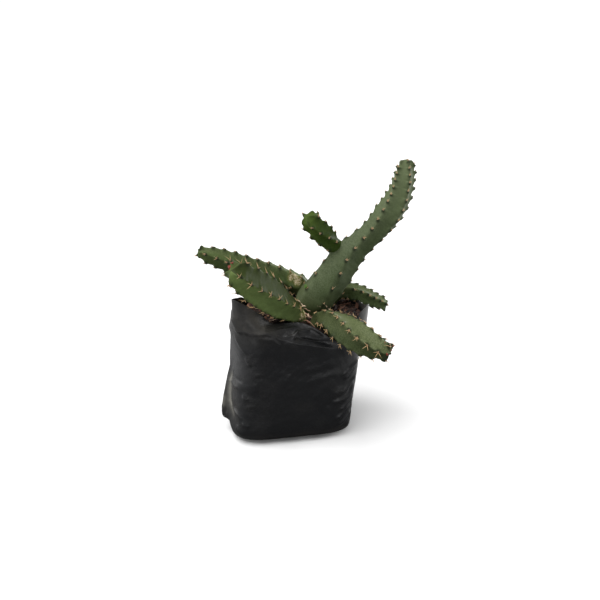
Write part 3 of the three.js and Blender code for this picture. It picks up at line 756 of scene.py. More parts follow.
# Skins: material name, roughness, how far a dark face is darkened by painted shade, then the
# painted shade colour of a face turned from the light, the mottle's dark and light, the bloom,
# which the painted highlight of the lit side also uses, and the tip
SKIN_LOOKS = {
    "main_stem_skin": ("grey_green_skin", 0.5, 0.6,
                       (40, 50, 25), (52, 64, 36), (70, 82, 52), (98, 108, 80), (122, 134, 96)),
    "offset_skin": ("dark_green_skin", 0.56, 0.6,
                    (32, 50, 12), (44, 64, 18), (60, 80, 28), (82, 96, 42), (78, 98, 36)),
    "rear_stem_skin": ("mid_green_skin", 0.45, 0.6,
                       (40, 52, 22), (56, 72, 34), (74, 90, 48), (100, 110, 74), (76, 92, 46)),
    "front_left_skin": ("leaf_green_skin", 0.48, 0.95,
                        (42, 52, 18), (84, 100, 56), (102, 120, 70), (70, 80, 42), (98, 116, 62)),
    "front_right_skin": ("pale_green_skin", 0.48, 0.6,
                         (38, 46, 24), (50, 62, 30), (64, 76, 42), (100, 108, 74), (48, 60, 24)),
}
SKINS = {slot: make_material(name, skin_look, *given) for slot, (name, *given) in SKIN_LOOKS.items()}
FILM_FINISH = make_material("black_polythene", film_look)
SOIL_FINISH = make_material("potting_mix", soil_look)
BARK_FINISH = make_material("bark", bark_look)
SPINE_FINISH = make_material("horn_spines", spine_look)
FELT_FINISH = make_material("areole_felt", felt_look)
RED_FINISH = make_material("red_growth", growth_look, (112, 38, 26), (160, 66, 46))
BUD_FINISH = make_material("green_bud", growth_look, (52, 96, 34), (110, 142, 62))
LITTER_FINISH = make_material("dry_litter", litter_look)


# Stems
RINGS_PER_TOOTH = 24
CAP_RINGS = 14
FOOT_RINGS = 10
# Corky scars: stem, distance along it, angle round it in degrees, length and width
SCARS = {
    "rear_left_stem": [(46.5, 20, 2.8, 3.8), (43, 36, 2.8, 3.0), (39.5, 12, 3.8, 4.0)],
    "main_stem": [(16, -60, 3, 3)],
    "front_left_stem": [(17, -20, 2, 3), (18, 12, 3, 1.6), (17, 38, 3, 1.6)],
}


def scars_of(name, stem, distance, angle):
    """How corky a stem's skin is at each place, from 0 to 1."""
    scar = np.zeros_like(distance)
    for place, bearing, length, width in SCARS.get(name, []):
        radius = stem["line"].at(np.array([float(place)]))[1][0]
        off = wrapped(angle - math.radians(bearing)) * radius
        scar = np.maximum(scar, np.exp(-((distance - place) / length) ** 2 - (off / width) ** 2))
    return scar


def build_stem(name, stem):
    ribbed = tooth_distance(stem, np.arange(0, stem["teeth"] * RINGS_PER_TOOTH) / RINGS_PER_TOOTH)
    ribbed = ribbed[ribbed < stem["cap_start"]]
    foot = np.linspace(0, RIBS_START, FOOT_RINGS, endpoint=False)
    bend = np.sin(np.linspace(0, math.pi / 2, CAP_RINGS, endpoint=False))
    distance = np.concatenate([foot, ribbed, mix(stem["cap_start"], stem["end"], bend)])
    distance, angle = np.meshgrid(distance, all_round(stem["around"]), indexing="ij")
    skin = stem_surface(stem, distance, angle)
    ends = stem["line"].at(np.array([0.0, stem["end"]]))[0]
    shape = Shape()
    shape.add_tube(skin["point"], ends[0], ends[1], scar=scars_of(name, stem, distance, angle),
                   **{mask: skin[mask] for mask in ("crest", "areole", "tip", "foot", "tone", "painted_lit_side")})
    piece = shape.build(name + "_skin", SKINS[stem["slot"]], stem["slot"])
    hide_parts(name)


def areoles_of(stem):
    """Every areole: where it sits, the directions out and along there, and how far up the stem."""
    found = []
    for rib in range(RIBS):
        for tooth in range(stem["teeth"]):
            place = tooth + TOOTH_CREST + stem["stagger"][rib]
            if not 0 <= place <= stem["teeth"]:
                continue
            distance = np.array([tooth_distance(stem, place) + AREOLE_STEP])
            grown = share_grown(stem, distance)
            angle = np.radians(mix(*stem["turn"], grown)) + rib * RIB_PITCH
            spot = stem_surface(stem, distance, angle)
            found.append((spot["point"][0], spot["out"][0], spot["along"][0], grown[0]))
    return found


SPINE_SEED = 100
SPINE_RINGS = 5
SPINE_SIDES = 6
SPINE_TAPER = 0.8
SPINE_ROOTED = 0.2  # how far a spine goes on behind its start
FEWEST_SPINES = 2
# Spines of an areole: how far each turns from the way they lean, and its share of the full length
FAN = [0, 1.1, -1.0, 2.4]
FAN_LENGTH = [1, 0.8, 0.7, 0.5]
FAN_WOBBLE = 0.45
FAN_VARIES = (0.75, 1.2)
SPINE_LIFT = (0.35, 0.85)  # how far a spine stands off the skin
SPINE_BEND = (-0.2, 1)
LENGTH_VARIES = (0.8, 1.15)
WIDTH_VARIES = (0.85, 1.15)
SPINE_FORWARD = 0.45  # how far an areole faces the tip
SPINE_SUNK = 0.15  # how deep its spines are rooted, and how far apart and off the skin they start
ROOT_ASIDE = 0.3
ROOT_OFF = 0.2
BEND_UP = 0.15  # how far spines bend to the tip and to the skin, as shares of their length
BEND_IN = 0.2
FELT_SIZE = (0.85, 0.65, 0.55)  # across, along and off the skin
FELT_RAISED = 0.1
FELT_TILT = 0.4
NOT_ALONG = np.array([0.31, 0.52, 0.79])  # a direction that no spine has, to find its sides


def add_spine(shape, root, direction, bend, length, width):
    """One curved needle that tapers to its point."""
    share = np.linspace(0, 1, SPINE_RINGS, endpoint=False)
    point = root + (direction + bend) * length
    middle = root + np.outer(share, direction) * length + np.outer(share**2, bend) * length
    aim = unit(np.gradient(np.vstack([middle, point]), axis=0))[:-1]
    side = unit(np.cross(aim, NOT_ALONG))
    radius = width / 2 * (1 - share) ** SPINE_TAPER
    rings = ellipses(all_round(SPINE_SIDES), side, np.cross(aim, side)) * radius[:, None, None]
    shape.add_tube(middle[:, None] + rings, middle[0] - direction * SPINE_ROOTED, point, along=share)


def add_blob(shape, middle, axes, rows=6, around=10):
    """A closed egg shape along three axes."""
    tilt = np.linspace(0, math.pi, rows + 2)[1:-1, None, None]
    first, second, up = axes
    rings = middle - np.cos(tilt) * up + np.sin(tilt) * ellipses(all_round(around), first, second)
    shape.add_tube(rings, middle - up, middle + up)


def build_spines(name, stem):
    """A pad of felt on each areole, and a few spines that fan out of it."""
    random = np.random.default_rng(stem["seed"] + SPINE_SEED)
    spines, felt = Shape(), Shape()
    given = stem["spines"]
    for point, out, up, grown in areoles_of(stem):
        face = unit(out + SPINE_FORWARD * up)
        side = np.cross(up, out)
        root = point - SPINE_SUNK * out
        size = random.uniform(*WIDTH_VARIES)
        length = unit(up - FELT_TILT * out) * FELT_SIZE[1] * size
        add_blob(felt, root + FELT_RAISED * out, (side * FELT_SIZE[0] * size, length, face * FELT_SIZE[2]))
        fan = math.radians(given["lean"]) + random.normal(0, FAN_WOBBLE)
        for n in range(int(random.integers(FEWEST_SPINES, len(FAN) + 1))):
            bearing = fan + FAN[n] * random.uniform(*FAN_VARIES)
            lift = random.uniform(*SPINE_LIFT)
            flat = math.cos(bearing) * side + math.sin(bearing) * up
            bend = (BEND_UP * up - BEND_IN * face) * random.uniform(*SPINE_BEND)
            length = mix(*given["length"], grown) * FAN_LENGTH[n] * random.uniform(*LENGTH_VARIES)
            width = given["width"] * random.uniform(*WIDTH_VARIES)
            start = root + flat * ROOT_ASIDE + face * ROOT_OFF
            add_spine(spines, start, unit(flat + lift * face), bend, length, width)
    spines.build(name + "_spines", SPINE_FINISH, "spine")
    felt.build(name + "_areoles", FELT_FINISH, "felt")


# Bag
# Creases: points as a place along the wall and a way up the film, how wide, and how high
CREASES = [
    # The folded-in front edge
    ([(-64, 114), (-45, 118), (-36, 117), (-27, 117), (-16, 110), (-8, 108)], 1.8, 1.3),
    ([(-8, 108), (-3, 115), (9, 116), (19, 109)], 1.3, 1.7),
    ([(-22, 120), (-13, 119), (-3, 120)], 1.2, 0.9),
    ([(-15, 112), (-7, 112), (-2, 116)], 1.0, 0.7),
    ([(-6, 111), (9, 106.5), (25, 102.5)], 2.8, -3.2),
    ([(-12, 108), (0, 104.5), (12, 101.5), (24, 98)], 1.3, 1.7),
    ([(-18, 109), (-8, 104), (7, 101), (24, 99)], 2.5, 0.8),
    ([(-24, 113), (-20, 108), (-16, 104)], 1.2, 1.0),
    ([(-43, 117), (-40, 113), (-36, 109)], 1.8, -1.1),
    ([(-35, 114), (-28, 112), (-22, 110)], 2.0, 0.6),
    # The upper left
    ([(-56, 127), (-51, 120), (-47, 113)], 1.8, 1.3),
    ([(-50, 128), (-44, 122), (-38, 118)], 2.4, -0.9),
    ([(-54, 112), (-50, 103), (-44, 96)], 2.0, 1.1),
    # The middle of the front
    ([(-38, 75), (-30, 76), (-22, 77)], 2.4, -0.43),
    ([(-41, 79), (-31, 77), (-21, 74)], 1.9, 0.43),
    ([(-44, 46), (-35, 48)], 1.6, 0.43),
    ([(-34, 48), (-10, 43)], 4.1, 0.37),
    ([(-12, 68), (-10, 72), (-8, 76)], 1.9, 0.43),
    ([(-19, 74), (-14, 74)], 2.7, -0.37),
    ([(-38, 70), (-34, 62)], 2.2, 0.43),
    ([(-30, 87), (-19, 83), (-12, 78)], 4.1, -0.37),
    ([(-37, 100), (-18, 96), (-2, 94)], 4.7, 0.43),
    ([(-7, 72), (11, 75), (28, 79), (36, 82)], 4.1, -0.56),
    ([(-2, 78), (16, 80), (29, 87)], 4.1, 0.56),
    ([(4, 66), (20, 71), (37, 75)], 3.5, 0.62),
    ([(13, 50), (21, 59), (30, 69)], 3.5, 0.56),
    ([(3, 85), (17, 90), (33, 93)], 4.7, 0.37),
    ([(3, 15), (7, 17)], 1.9, 0.37),
    ([(-32, 28), (-4, 31), (24, 26)], 6.8, 0.37),
    # The right corner
    ([(55, 82), (50, 79), (43, 76), (35, 69)], 2.4, 2.0),
    ([(52, 75), (46, 72), (37, 66)], 1.8, 1.7),
    ([(54, 67), (46, 62), (40, 55), (37, 51)], 2.4, 2.0),
    ([(54, 55), (45, 49), (36, 46), (28, 45)], 2.6, 2.0),
    ([(54, 46), (45, 41), (39, 35)], 2.2, 1.8),
    ([(50, 38), (43, 33), (37, 26)], 2.4, 1.7),
    ([(55, 30), (48, 25), (40, 20)], 2.2, 1.5),
    ([(56, 60), (50, 58), (44, 52)], 1.8, -1.2),
    ([(32, 52), (38, 58)], 3.0, 1.4),
    ([(49, 14), (54, 18)], 2.6, 1.05),
    ([(26, 41), (34, 49)], 3.4, -1.05),
    # The left corner
    ([(-76, 50), (-75.3, 40), (-74.5, 28), (-75, 17)], 0.9, -0.9),
    ([(-68, 52), (-67, 42), (-63, 34), (-53, 33)], 1.1, 1.0),
    ([(-46, 93), (-42, 85)], 1.5, 1.19),
    ([(-72, 70), (-65, 67)], 2.7, 1.04),
    ([(-75, 54), (-52, 60)], 2.2, 1.26),
    ([(-64, 64), (-48, 68)], 2.4, -0.89),
    ([(-49, 53), (-42, 54)], 2.2, 0.97),
    ([(-48, 28), (-41, 27)], 1.9, 0.89),
    ([(-66, 48), (-61, 35), (-48, 31)], 3.0, 1.19),
    ([(-52, 60), (-39, 57), (-32, 54)], 4.1, -0.67),
    ([(-56, 22), (-44, 16)], 3.4, 0.74),
]
# Seeded creases of the other walls: how many, and between what values they are drawn
RANDOM_CREASES = 46
CREASE_PLACE = (60, 250)
CREASE_HEIGHT = (12, 125)
CREASE_LENGTH = (12, 46)
CREASE_SLANT = (-0.9, 0.9)
CREASE_WOBBLE = (-2, 2)
CREASE_WIDTH = (1.6, 3.6)
CREASE_RISE = (-0.7, 1.1)
CREASE_SEEN = 6  # half widths to which a crease reaches, and how high it still is there
CREASE_LEFT = 0.005
CREASE_EASE = 0.35  # share of a crease over which each end fades
CREASE_PAST = 0.08  # how far past its last point it goes on fading
# Waves all over the film: how many, how many go round it, how they climb, and their height
SWELLS = (18, (1, 16), (-0.16, 0.16), 0.075)
CRINKLES = (20, (-52, 52), (0.3, 1.0), 0.01125)
ANY_PHASE = (0, 6.3)
# Pleat of the left gusset: its middle and half width in depth, then heights and its reach there
PLEAT_AT = (-6, 4.5)
PLEAT_EDGE = 1.5  # how steeply it ends
PLEAT_SIDE = -30  # it is only on the film to the left of this
PLEAT = [
    (0, 0), (11.4, 0.2), (12.8, 5), (14.5, 6.4), (18, 7.4), (25, 8.4), (35, 7.6), (45, 6), (56, 4.2),
    (66, 2.4), (76, 0.6), (90, 0),
]
# Painted sheen: pale streaks on that pleat's lit flank, painted light: points, half width and how strong
PLEAT_SHEEN = [
    ([(-71, 66), (-72, 56), (-72.5, 46), (-71, 36), (-66, 29)], 2.2, 1.1),
    ([(-72, 38), (-68, 30), (-60, 27)], 3.2, 0.7),
    ([(-76.5, 40), (-76.5, 26)], 1.2, 0.8),
]
FILM_FLAT_BELOW = (0.5, 8)  # where its creases start above the floor, and their run
# Marks on the film: where each starts by height, by place to the side or by lean, and its run
MUD_HIGH = (88, 20)
MUD_LEFT = (-8, -25)
MUD_LOW = (14, -12)
# where the thin lip painted pale as painted light lies
LIT_LIP_RIGHT = (50, 7)
LIT_LIP_HIGH = (103, 7)
DULL_HIGH = (92, 8)
DULL_LEAN = (0.2, 0.35)
# Mud: on upright film at the top, on its right side, near the floor, on the pleat and all over
MUD_UPRIGHT = 0.4
MUD_RIGHT_SHARE = 0.12
MUD_LOW_SHARE = 0.5
MUD_PLEAT_SHARE = 0.5
MUD_EVERYWHERE = 0.08
PLEAT_MUD = (-56, 6, 34, 20)  # place to the side and height, each with its half width
SAMPLES_ROUND = 6000
BURIED_ROWS = 14  # from the fold down to where the film is buried
BURIED_STEP = 4  # one in how many of the inner film's rows is kept there


def closed_line(points):
    """Samples along a smooth closed line."""
    points = np.array(points, float)
    padded = np.vstack([points[-1:], points, points[:2]])
    knots = even_knots(padded)
    return through(padded, knots, np.linspace(knots[1], knots[-2], SAMPLES_ROUND, endpoint=False))


def level_ring(level, inset=0.0):
    """A rounded rectangle at a level of the bag."""
    z, left, right, front, back = level
    turn = all_round(BAG_COLUMNS)
    direction = unit(np.stack([RING_SHAPE[0] * np.cos(turn), RING_SHAPE[1] * np.sin(turn)], axis=-1))
    half = np.array([(right - left) / 2 - inset, (back - front) / 2 - inset])
    reach = np.sum(np.abs(direction / half) ** SQUARENESS, axis=1) ** (-1 / SQUARENESS)
    flat = direction * reach[:, None] + [(left + right) / 2, (front + back) / 2]
    return np.column_stack([flat, np.full(BAG_COLUMNS, float(z))])


def line_ring(points):
    """Points of a closed line in the directions of the level rings' points."""
    samples = closed_line(points)
    wanted = level_ring(BAG_LEVELS[-1])
    have = np.arctan2(samples[:, 1], samples[:, 0] - MIDDLE_X)
    want = np.arctan2(wanted[:, 1], wanted[:, 0] - MIDDLE_X)
    miss = np.abs(wrapped(have[None] - want[:, None]))
    ring = samples[np.argmin(miss, axis=1)]
    for _ in range(2):
        ring = (np.roll(ring, 1, axis=0) + 2 * ring + np.roll(ring, -1, axis=0)) / 4
    return ring


def wall_creases():
    """Creases of the front, and seeded ones for the other walls."""
    random = np.random.default_rng(29)
    creases = list(CREASES)
    for _ in range(RANDOM_CREASES):
        start = np.array([random.uniform(*CREASE_PLACE), random.uniform(*CREASE_HEIGHT)])
        length, slant = random.uniform(*CREASE_LENGTH), random.uniform(*CREASE_SLANT)
        end = start + [length * math.cos(slant), length * math.sin(slant)]
        middle = (start + end) / 2 + random.uniform(*CREASE_WOBBLE, 2)
        creases.append(([start, middle, end], random.uniform(*CREASE_WIDTH), random.uniform(*CREASE_RISE)))
    return creases


def distance_to(points, spots):
    """Distance of spots to a broken line, and how far along it they lie as a share."""
    away = np.full(len(spots), 1e9)
    run = np.zeros(len(spots))
    gone = 0.0
    for start, end in zip(points[:-1], points[1:]):
        length = np.linalg.norm(end - start)
        heading = (end - start) / length
        along = np.clip((spots - start) @ heading, 0, length)
        gap = np.linalg.norm(spots - start - along[:, None] * heading, axis=1)
        run = np.where(gap < away, gone + along, run)
        away = np.minimum(away, gap)
        gone += length
    return away, run / gone


def crease_height(place, up, perimeter, creases):
    """How far creases raise the film at a place along the wall, or how strong the painted sheen is there.
    """
    total = np.zeros_like(place)
    for points, width, rise in creases:
        points = np.array(points, float)
        middle = points[:, 0].mean()
        near = wrapped(place - middle, perimeter) + middle
        low, high = points.min(axis=0) - CREASE_SEEN * width, points.max(axis=0) + CREASE_SEEN * width
        close = (near > low[0]) & (near < high[0]) & (up > low[1]) & (up < high[1])
        away, share = distance_to(points, np.column_stack([near[close], up[close]]))
        ends = smooth((share + CREASE_PAST) / CREASE_EASE) * smooth((1 + CREASE_PAST - share) / CREASE_EASE)
        total[close] += rise * ends * ((1 + (away / width) ** 2) ** -1.5 - CREASE_LEFT)
    return total


def film_waves(place, up, perimeter):
    """Soft swells and fine crinkles all over the film."""
    random = np.random.default_rng(41)
    total = np.zeros_like(up)
    for count, rounds, climb, height in (SWELLS, CRINKLES):
        for _ in range(count):
            phase = place * random.integers(*rounds) * TURN / perimeter + up * random.uniform(*climb)
            total += np.sin(phase + random.uniform(*ANY_PHASE)) * height
    return total


def grid_normals(points):
    """Normals of a grid of rows that each close on themselves, pointing out."""
    round_it = np.roll(points, -1, axis=1) - np.roll(points, 1, axis=1)
    up = np.gradient(points, axis=0)
    return unit(np.cross(round_it, up))


def film_sheet():
    """The film without creases: its points, their place along the wall and their way up it."""
    knot_rings = np.stack([level_ring(level) for level in BAG_LEVELS] + [line_ring(FOLD), line_ring(RIM)])
    mean_steps = np.linalg.norm(np.diff(knot_rings, axis=0), axis=2).mean(axis=1)
    knots = np.concatenate([[0], np.cumsum(np.sqrt(mean_steps))])
    rows = [np.linspace(*ends, count, endpoint=False) for *ends, count in zip(knots, knots[1:], BAG_ROWS)]
    wall = through(extended(knot_rings), extended(knots), np.concatenate(rows + [knots[-1:]]))
    wall[:, :, 2] = np.maximum(wall[:, :, 2], 0)
    waist = wall[sum(BAG_ROWS[:WAIST])]
    steps = np.linalg.norm(np.roll(waist, -1, axis=0) - waist, axis=1)
    perimeter = steps.sum()
    place = np.concatenate([[0], np.cumsum(steps)[:-1]])
    on_front = waist[:, 1] < 0
    front = np.argmin(np.where(on_front, np.abs(waist[:, 0]), np.inf))
    place = (place - place[front] + perimeter / 4) % perimeter - perimeter / 4
    climb = np.linalg.norm(np.diff(wall, axis=0), axis=2)
    up = np.concatenate([np.zeros((1, BAG_COLUMNS)), np.cumsum(climb, axis=0)])
    return wall, np.broadcast_to(place, up.shape), up, perimeter


def creased(wall, place, up, perimeter):
    """The film with its creases and the pleat of its left gusset."""
    height = wall[:, :, 2]
    rise = crease_height(place, up, perimeter, wall_creases()) + film_waves(place, up, perimeter)
    rise = rise * past(height, *FILM_FLAT_BELOW)
    pleat = np.interp(height, *zip(*PLEAT)) * (wall[:, :, 0] < PLEAT_SIDE)
    pleat = pleat * np.exp(-np.abs((wall[:, :, 1] - PLEAT_AT[0]) / PLEAT_AT[1]) ** PLEAT_EDGE)
    wall = wall + grid_normals(wall) * rise[..., None]
    wall[:, :, 0] -= pleat
    wall[:, :, 2] = np.maximum(wall[:, :, 2], 0)
    return wall


def film_marks(rings, leaning):
    """Masks of the film: mud, the thin lip at the right rim that is painted pale as painted light, and the
    dull folds.
    """
    side, level = rings[:, :, 0], rings[:, :, 2]
    pleat_x, pleat_width, pleat_z, pleat_height = PLEAT_MUD
    at_top = past(level, *MUD_HIGH) * (MUD_UPRIGHT + leaning)
    mud = at_top * mix(MUD_RIGHT_SHARE, 1.0, past(side, *MUD_LEFT)) + MUD_LOW_SHARE * past(level, *MUD_LOW)
    on_pleat = np.exp(-((side - pleat_x) / pleat_width) ** 4 - ((level - pleat_z) / pleat_height) ** 2)
    return dict(
        mud=np.clip(mud + MUD_PLEAT_SHARE * on_pleat + MUD_EVERYWHERE, 0, 1),
        # thin: painted light on the lip at the right rim
        thin=past(side, *LIT_LIP_RIGHT) * past(level, *LIT_LIP_HIGH),
        dull=past(level, *DULL_HIGH) * past(leaning, *DULL_LEAN),
    )


def soil_edge(wall, inner):
    """Ring of the inner film that the soil meets: at the fold, and higher where it is heaped."""
    heap = past(wall[0, :, 0], *HEAP_RIGHT) * past(wall[0, :, 1], *HEAP_BACK)
    rows = inner[-BAG_ROWS[-1] - 1:]
    at = heap * HEAP_SHARE * (len(rows) - 1)
    low = np.floor(at).astype(int)
    column = np.arange(BAG_COLUMNS)
    return mix(rows[low, column], rows[low + 1, column], (at - low)[:, None])


def build_bag():
    """The film as one thin closed shell, with creases. Gives the ring that the soil meets."""
    wall, place, up, perimeter = film_sheet()
    wall = creased(wall, place, up, perimeter)
    bottom = [wall[0] * (row + 1) / (BOTTOM_ROWS + 1) for row in range(BOTTOM_ROWS)]
    outer = np.concatenate([bottom, wall])
    buried = BOTTOM_ROWS + sum(BAG_ROWS[:-1]) - BURIED_ROWS
    thick = np.where(np.arange(len(outer)) < buried, BURIED_FILM, FILM)
    inner = outer - grid_normals(outer) * thick[:, None, None]
    inner[:, :, 2] = np.maximum(inner[:, :, 2], FILM)
    inner = np.concatenate([inner[:buried:BURIED_STEP], inner[buried:]])
    rings = np.concatenate([outer, inner[::-1]])
    leaning = np.concatenate([grid_normals(outer), grid_normals(inner)[::-1]])[:, :, 2]
    # painted sheen on the pleat, held in dust
    dust = np.zeros(rings.shape[:2])
    dust[BOTTOM_ROWS:len(outer)] = crease_height(place, up, perimeter, PLEAT_SHEEN)
    shape = Shape()
    shape.add_tube(rings, np.zeros(3), np.array([0.0, 0.0, FILM]), dusty=dust,
                   **film_marks(rings, np.clip(leaning, 0, 1)))
    piece = shape.build("bag_film", FILM_FINISH, "film")
    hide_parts("grow_bag")
    return soil_edge(wall, inner)


# Soil
SOIL_INSET = 0.5  # between the soil's edge and the film
SOIL_SINKS = 1.5  # how far its edge lies below the ring of the film that it meets
SOIL_ROUND = 1.6  # how late on the way to its edge it falls
SOIL_RINGS = 46
SOIL_DEEP = (4.0, 30.0, 60.0, 82.0)  # levels of its rings in the bag, and how far in they are
SOIL_DEEP_INSET = 3.0
# Grains of the soil's top: how many waves, their lengths, and their length for each unit of height
SOIL_GRAINS = 18
GRAIN_LENGTH = (2.5, 9)
GRAIN_STEEP = 40
SOIL_ROUGH = (-0.35, 0.35)
GRAIN_FREE_EDGE = 0.1  # share of the way in over which the grains fade in


def soil_height(x, y):
    """The soil's top, lumpy as in the solids, before it falls towards its edge."""
    lumps = (np.sin(x * 0.42 + 1.3) * np.cos(y * 0.37 - 0.6)
             + 0.6 * np.sin(x * 0.83 - y * 0.61 + 2.1))
    return SOIL_LEVEL + SOIL_LUMP * lumps


def soil_top(share, edge):
    """Points of the soil's top at a share of the way out to its edge."""
    x = mix(MIDDLE_X, edge[:, 0], share)
    y = edge[:, 1] * share
    fall = max(0.0, share - SOIL_FALL) / (1 - SOIL_FALL)
    return np.column_stack([x, y, mix(soil_height(x, y), edge[:, 2] - SOIL_SINKS, fall**SOIL_ROUND)])


def build_soil(edge):
    """The soil as one closed body. Gives its edge."""
    random = np.random.default_rng(53)
    edge = edge[::2].copy()
    inwards = unit(np.column_stack([MIDDLE_X - edge[:, 0], -edge[:, 1], np.zeros(len(edge))]))
    edge += inwards * SOIL_INSET
    shares = np.linspace(1, 0, SOIL_RINGS, endpoint=False)
    top = np.stack([soil_top(share, edge) for share in shares])
    fine = np.zeros(top.shape[:2])
    for _ in range(SOIL_GRAINS):
        angle, wave = random.uniform(0, TURN), random.uniform(*GRAIN_LENGTH)
        phase = (top[..., 0] * math.cos(angle) + top[..., 1] * math.sin(angle)) * TURN / wave
        fine += np.sin(phase + random.uniform(*ANY_PHASE)) * wave / GRAIN_STEEP
    fine += random.uniform(*SOIL_ROUGH, fine.shape)
    top[..., 2] += fine * past(shares, 1, -GRAIN_FREE_EDGE)[:, None]
    deep = []
    for z in SOIL_DEEP:
        level = [np.interp(z, [row[0] for row in BAG_LEVELS], column) for column in zip(*BAG_LEVELS)]
        deep.append(level_ring(level, SOIL_DEEP_INSET)[::2])
    shape = Shape()
    shape.add_tube(np.concatenate([deep, top]), np.array([0, 0, SOIL_DEEP[0]]),
                   np.array([MIDDLE_X, 0, soil_height(MIDDLE_X, 0.0)]))
    piece = shape.build("soil_mix", SOIL_FINISH, "potting_mix")
    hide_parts("soil")
    return edge


# Bark
CHIP_SQUARENESS = 0.55  # of a chip's section, from 1 for round down to square
CHIP_TAPER = 0.35  # how much narrower its ends are, and how late it narrows
CHIP_SHOULDER = 2.5
CHIP_WEAR = (0.75, 1.1)
CHIP_TILT = 0.28
CHIP_TONE = (0.4, 0.27)  # its middle value and its spread
CHIP_LIFT = (0, 0.9)
# Kinds of bark: how many, lengths, widths, heights, room from the stems, rings and corners
CHIP_KINDS = [
    (230, (5, 13), (2, 4.4), (1.1, 2.2), 2.0, 6, 10),
    (420, (1.6, 3.6), (1.2, 2.6), (0.8, 1.8), 0.2, 4, 7),
]
NEAR_EDGE = 0.8  # share of the way out past which chips are shorter
EDGE_LENGTH = 0.6
# Large chips that lie open on the right: place, heading and tilt in degrees, length, width, tone
OPEN_CHIPS = [
    (58.5, 2, 60, 28, 11, 3.6, 0.58), (44, 3, 96, -12, 9, 1.8, 0.7), (50, 9, 8, 6, 11, 2.0, 0.62),
    (47, -3, -20, 10, 7, 2.4, 0.3), (54, -7, 30, 4, 7, 2.2, 0.15), (40, 9, 120, 14, 8, 1.8, 0.5),
    (51, 17, 20, 10, 9, 2.4, 0.55), (44, -9, 70, 8, 7, 1.8, 0.1), (56, 12, -50, -8, 8, 2.0, 0.2),
]
OPEN_CHIP_HEIGHT = 2.0
OPEN_CHIP_LIFT = 1.2
BARK_REACH = 0.95  # share of the way out to the soil's edge that bark reaches
# A chip's unevenness: jagged ends, bow and warp as shares of its size, grain, and roll to each side
CHIP_JAG = 0.06
CHIP_BOW = 0.2
CHIP_WARP = 0.12
CHIP_GRAIN = 0.05
CHIP_ROLL = 0.5
# Room that scattered bits keep from the rim, at the front and elsewhere
FRONT_BITS = -12
FRONT_ROOM = 5.5
RIM_ROOM = 1
RIM_LINE = closed_line(RIM)[::20]
RIM_WINDOW = 0.09  # the angle to each side over which the rim is looked at
FOOT_LEVEL = 106  # stems are cleared by their size within a reach of this level
FOOT_REACH = 8


def turned(first, second, angle):
    """Two coordinates turned by an angle."""
    cos_a, sin_a = math.cos(angle), math.sin(angle)
    return first * cos_a - second * sin_a, first * sin_a + second * cos_a


def add_slab(shape, random, middle, heading, tilt, size, tone, rows, around):
    """A chip: a bent, tapered slab with worn corners."""
    length, width, height = size
    share = np.linspace(-1, 1, rows)
    turn = all_round(around)
    across = np.sign(np.cos(turn)) * np.abs(np.cos(turn)) ** CHIP_SQUARENESS
    upward = np.sign(np.sin(turn)) * np.abs(np.sin(turn)) ** CHIP_SQUARENESS
    taper = (1 - CHIP_TAPER * np.abs(share) ** CHIP_SHOULDER) * random.uniform(*CHIP_WEAR, rows)
    rings = np.zeros((rows, around, 3))
    rings[..., 0] = share[:, None] * length / 2
    rings[..., 0] += random.uniform(-CHIP_JAG, CHIP_JAG, (rows, around)) * width
    rings[..., 1] = across * taper[:, None] * width / 2
    rings[..., 2] = upward * taper[:, None] * height / 2
    rings[..., 1] += random.uniform(-CHIP_BOW, CHIP_BOW) * width * share[:, None] ** 2
    rings[..., 2] += random.uniform(-CHIP_WARP, CHIP_WARP) * length * share[:, None] ** 2
    rings += random.normal(0, CHIP_GRAIN, rings.shape) * height
    x, y, z = np.moveaxis(rings, -1, 0)
    y, z = turned(y, z, random.uniform(-CHIP_ROLL, CHIP_ROLL))
    x, z = turned(x, z, tilt)
    x, y = turned(x, y, heading)
    rings = np.stack([x, y, z], axis=-1) + middle
    shape.add_tube(rings, rings[0].mean(axis=0), rings[-1].mean(axis=0), tone=tone)


def foot_clear(point, room):
    """Whether a point of the soil is clear of every stem's foot."""
    for stem in STEMS.values():
        near = stem["line"].samples
        near = near[np.abs(near[:, 2] - FOOT_LEVEL) < FOOT_REACH]
        if len(near) and np.min(np.linalg.norm(near[:, :2] - point[:2], axis=1) - near[:, 3]) < room:
            return False
    return True


def in_opening(point, room):
    """Whether a point of the soil lies under the bag's opening, clear of its rim."""
    bearing = np.arctan2(RIM_LINE[:, 1], RIM_LINE[:, 0] - MIDDLE_X)
    off = wrapped(bearing - math.atan2(point[1], point[0] - MIDDLE_X))
    near = RIM_LINE[np.abs(off) < RIM_WINDOW]
    reach = np.hypot(near[:, 0] - MIDDLE_X, near[:, 1]).min()
    return math.hypot(point[0] - MIDDLE_X, point[1]) < reach - room


def lies_free(point, length, room):
    """Whether a bit of a length can lie at a point, clear of the stems and the rim."""
    rim_room = FRONT_ROOM if point[1] < FRONT_BITS else RIM_ROOM
    return foot_clear(point, room) and in_opening(point, length / 2 + rim_room)


def random_spot(random, edge, reach):
    """A seeded point of the soil, and the share of the way out where it lies."""
    share = reach * math.sqrt(random.random())
    return soil_top(share, edge)[random.integers(len(edge))], share


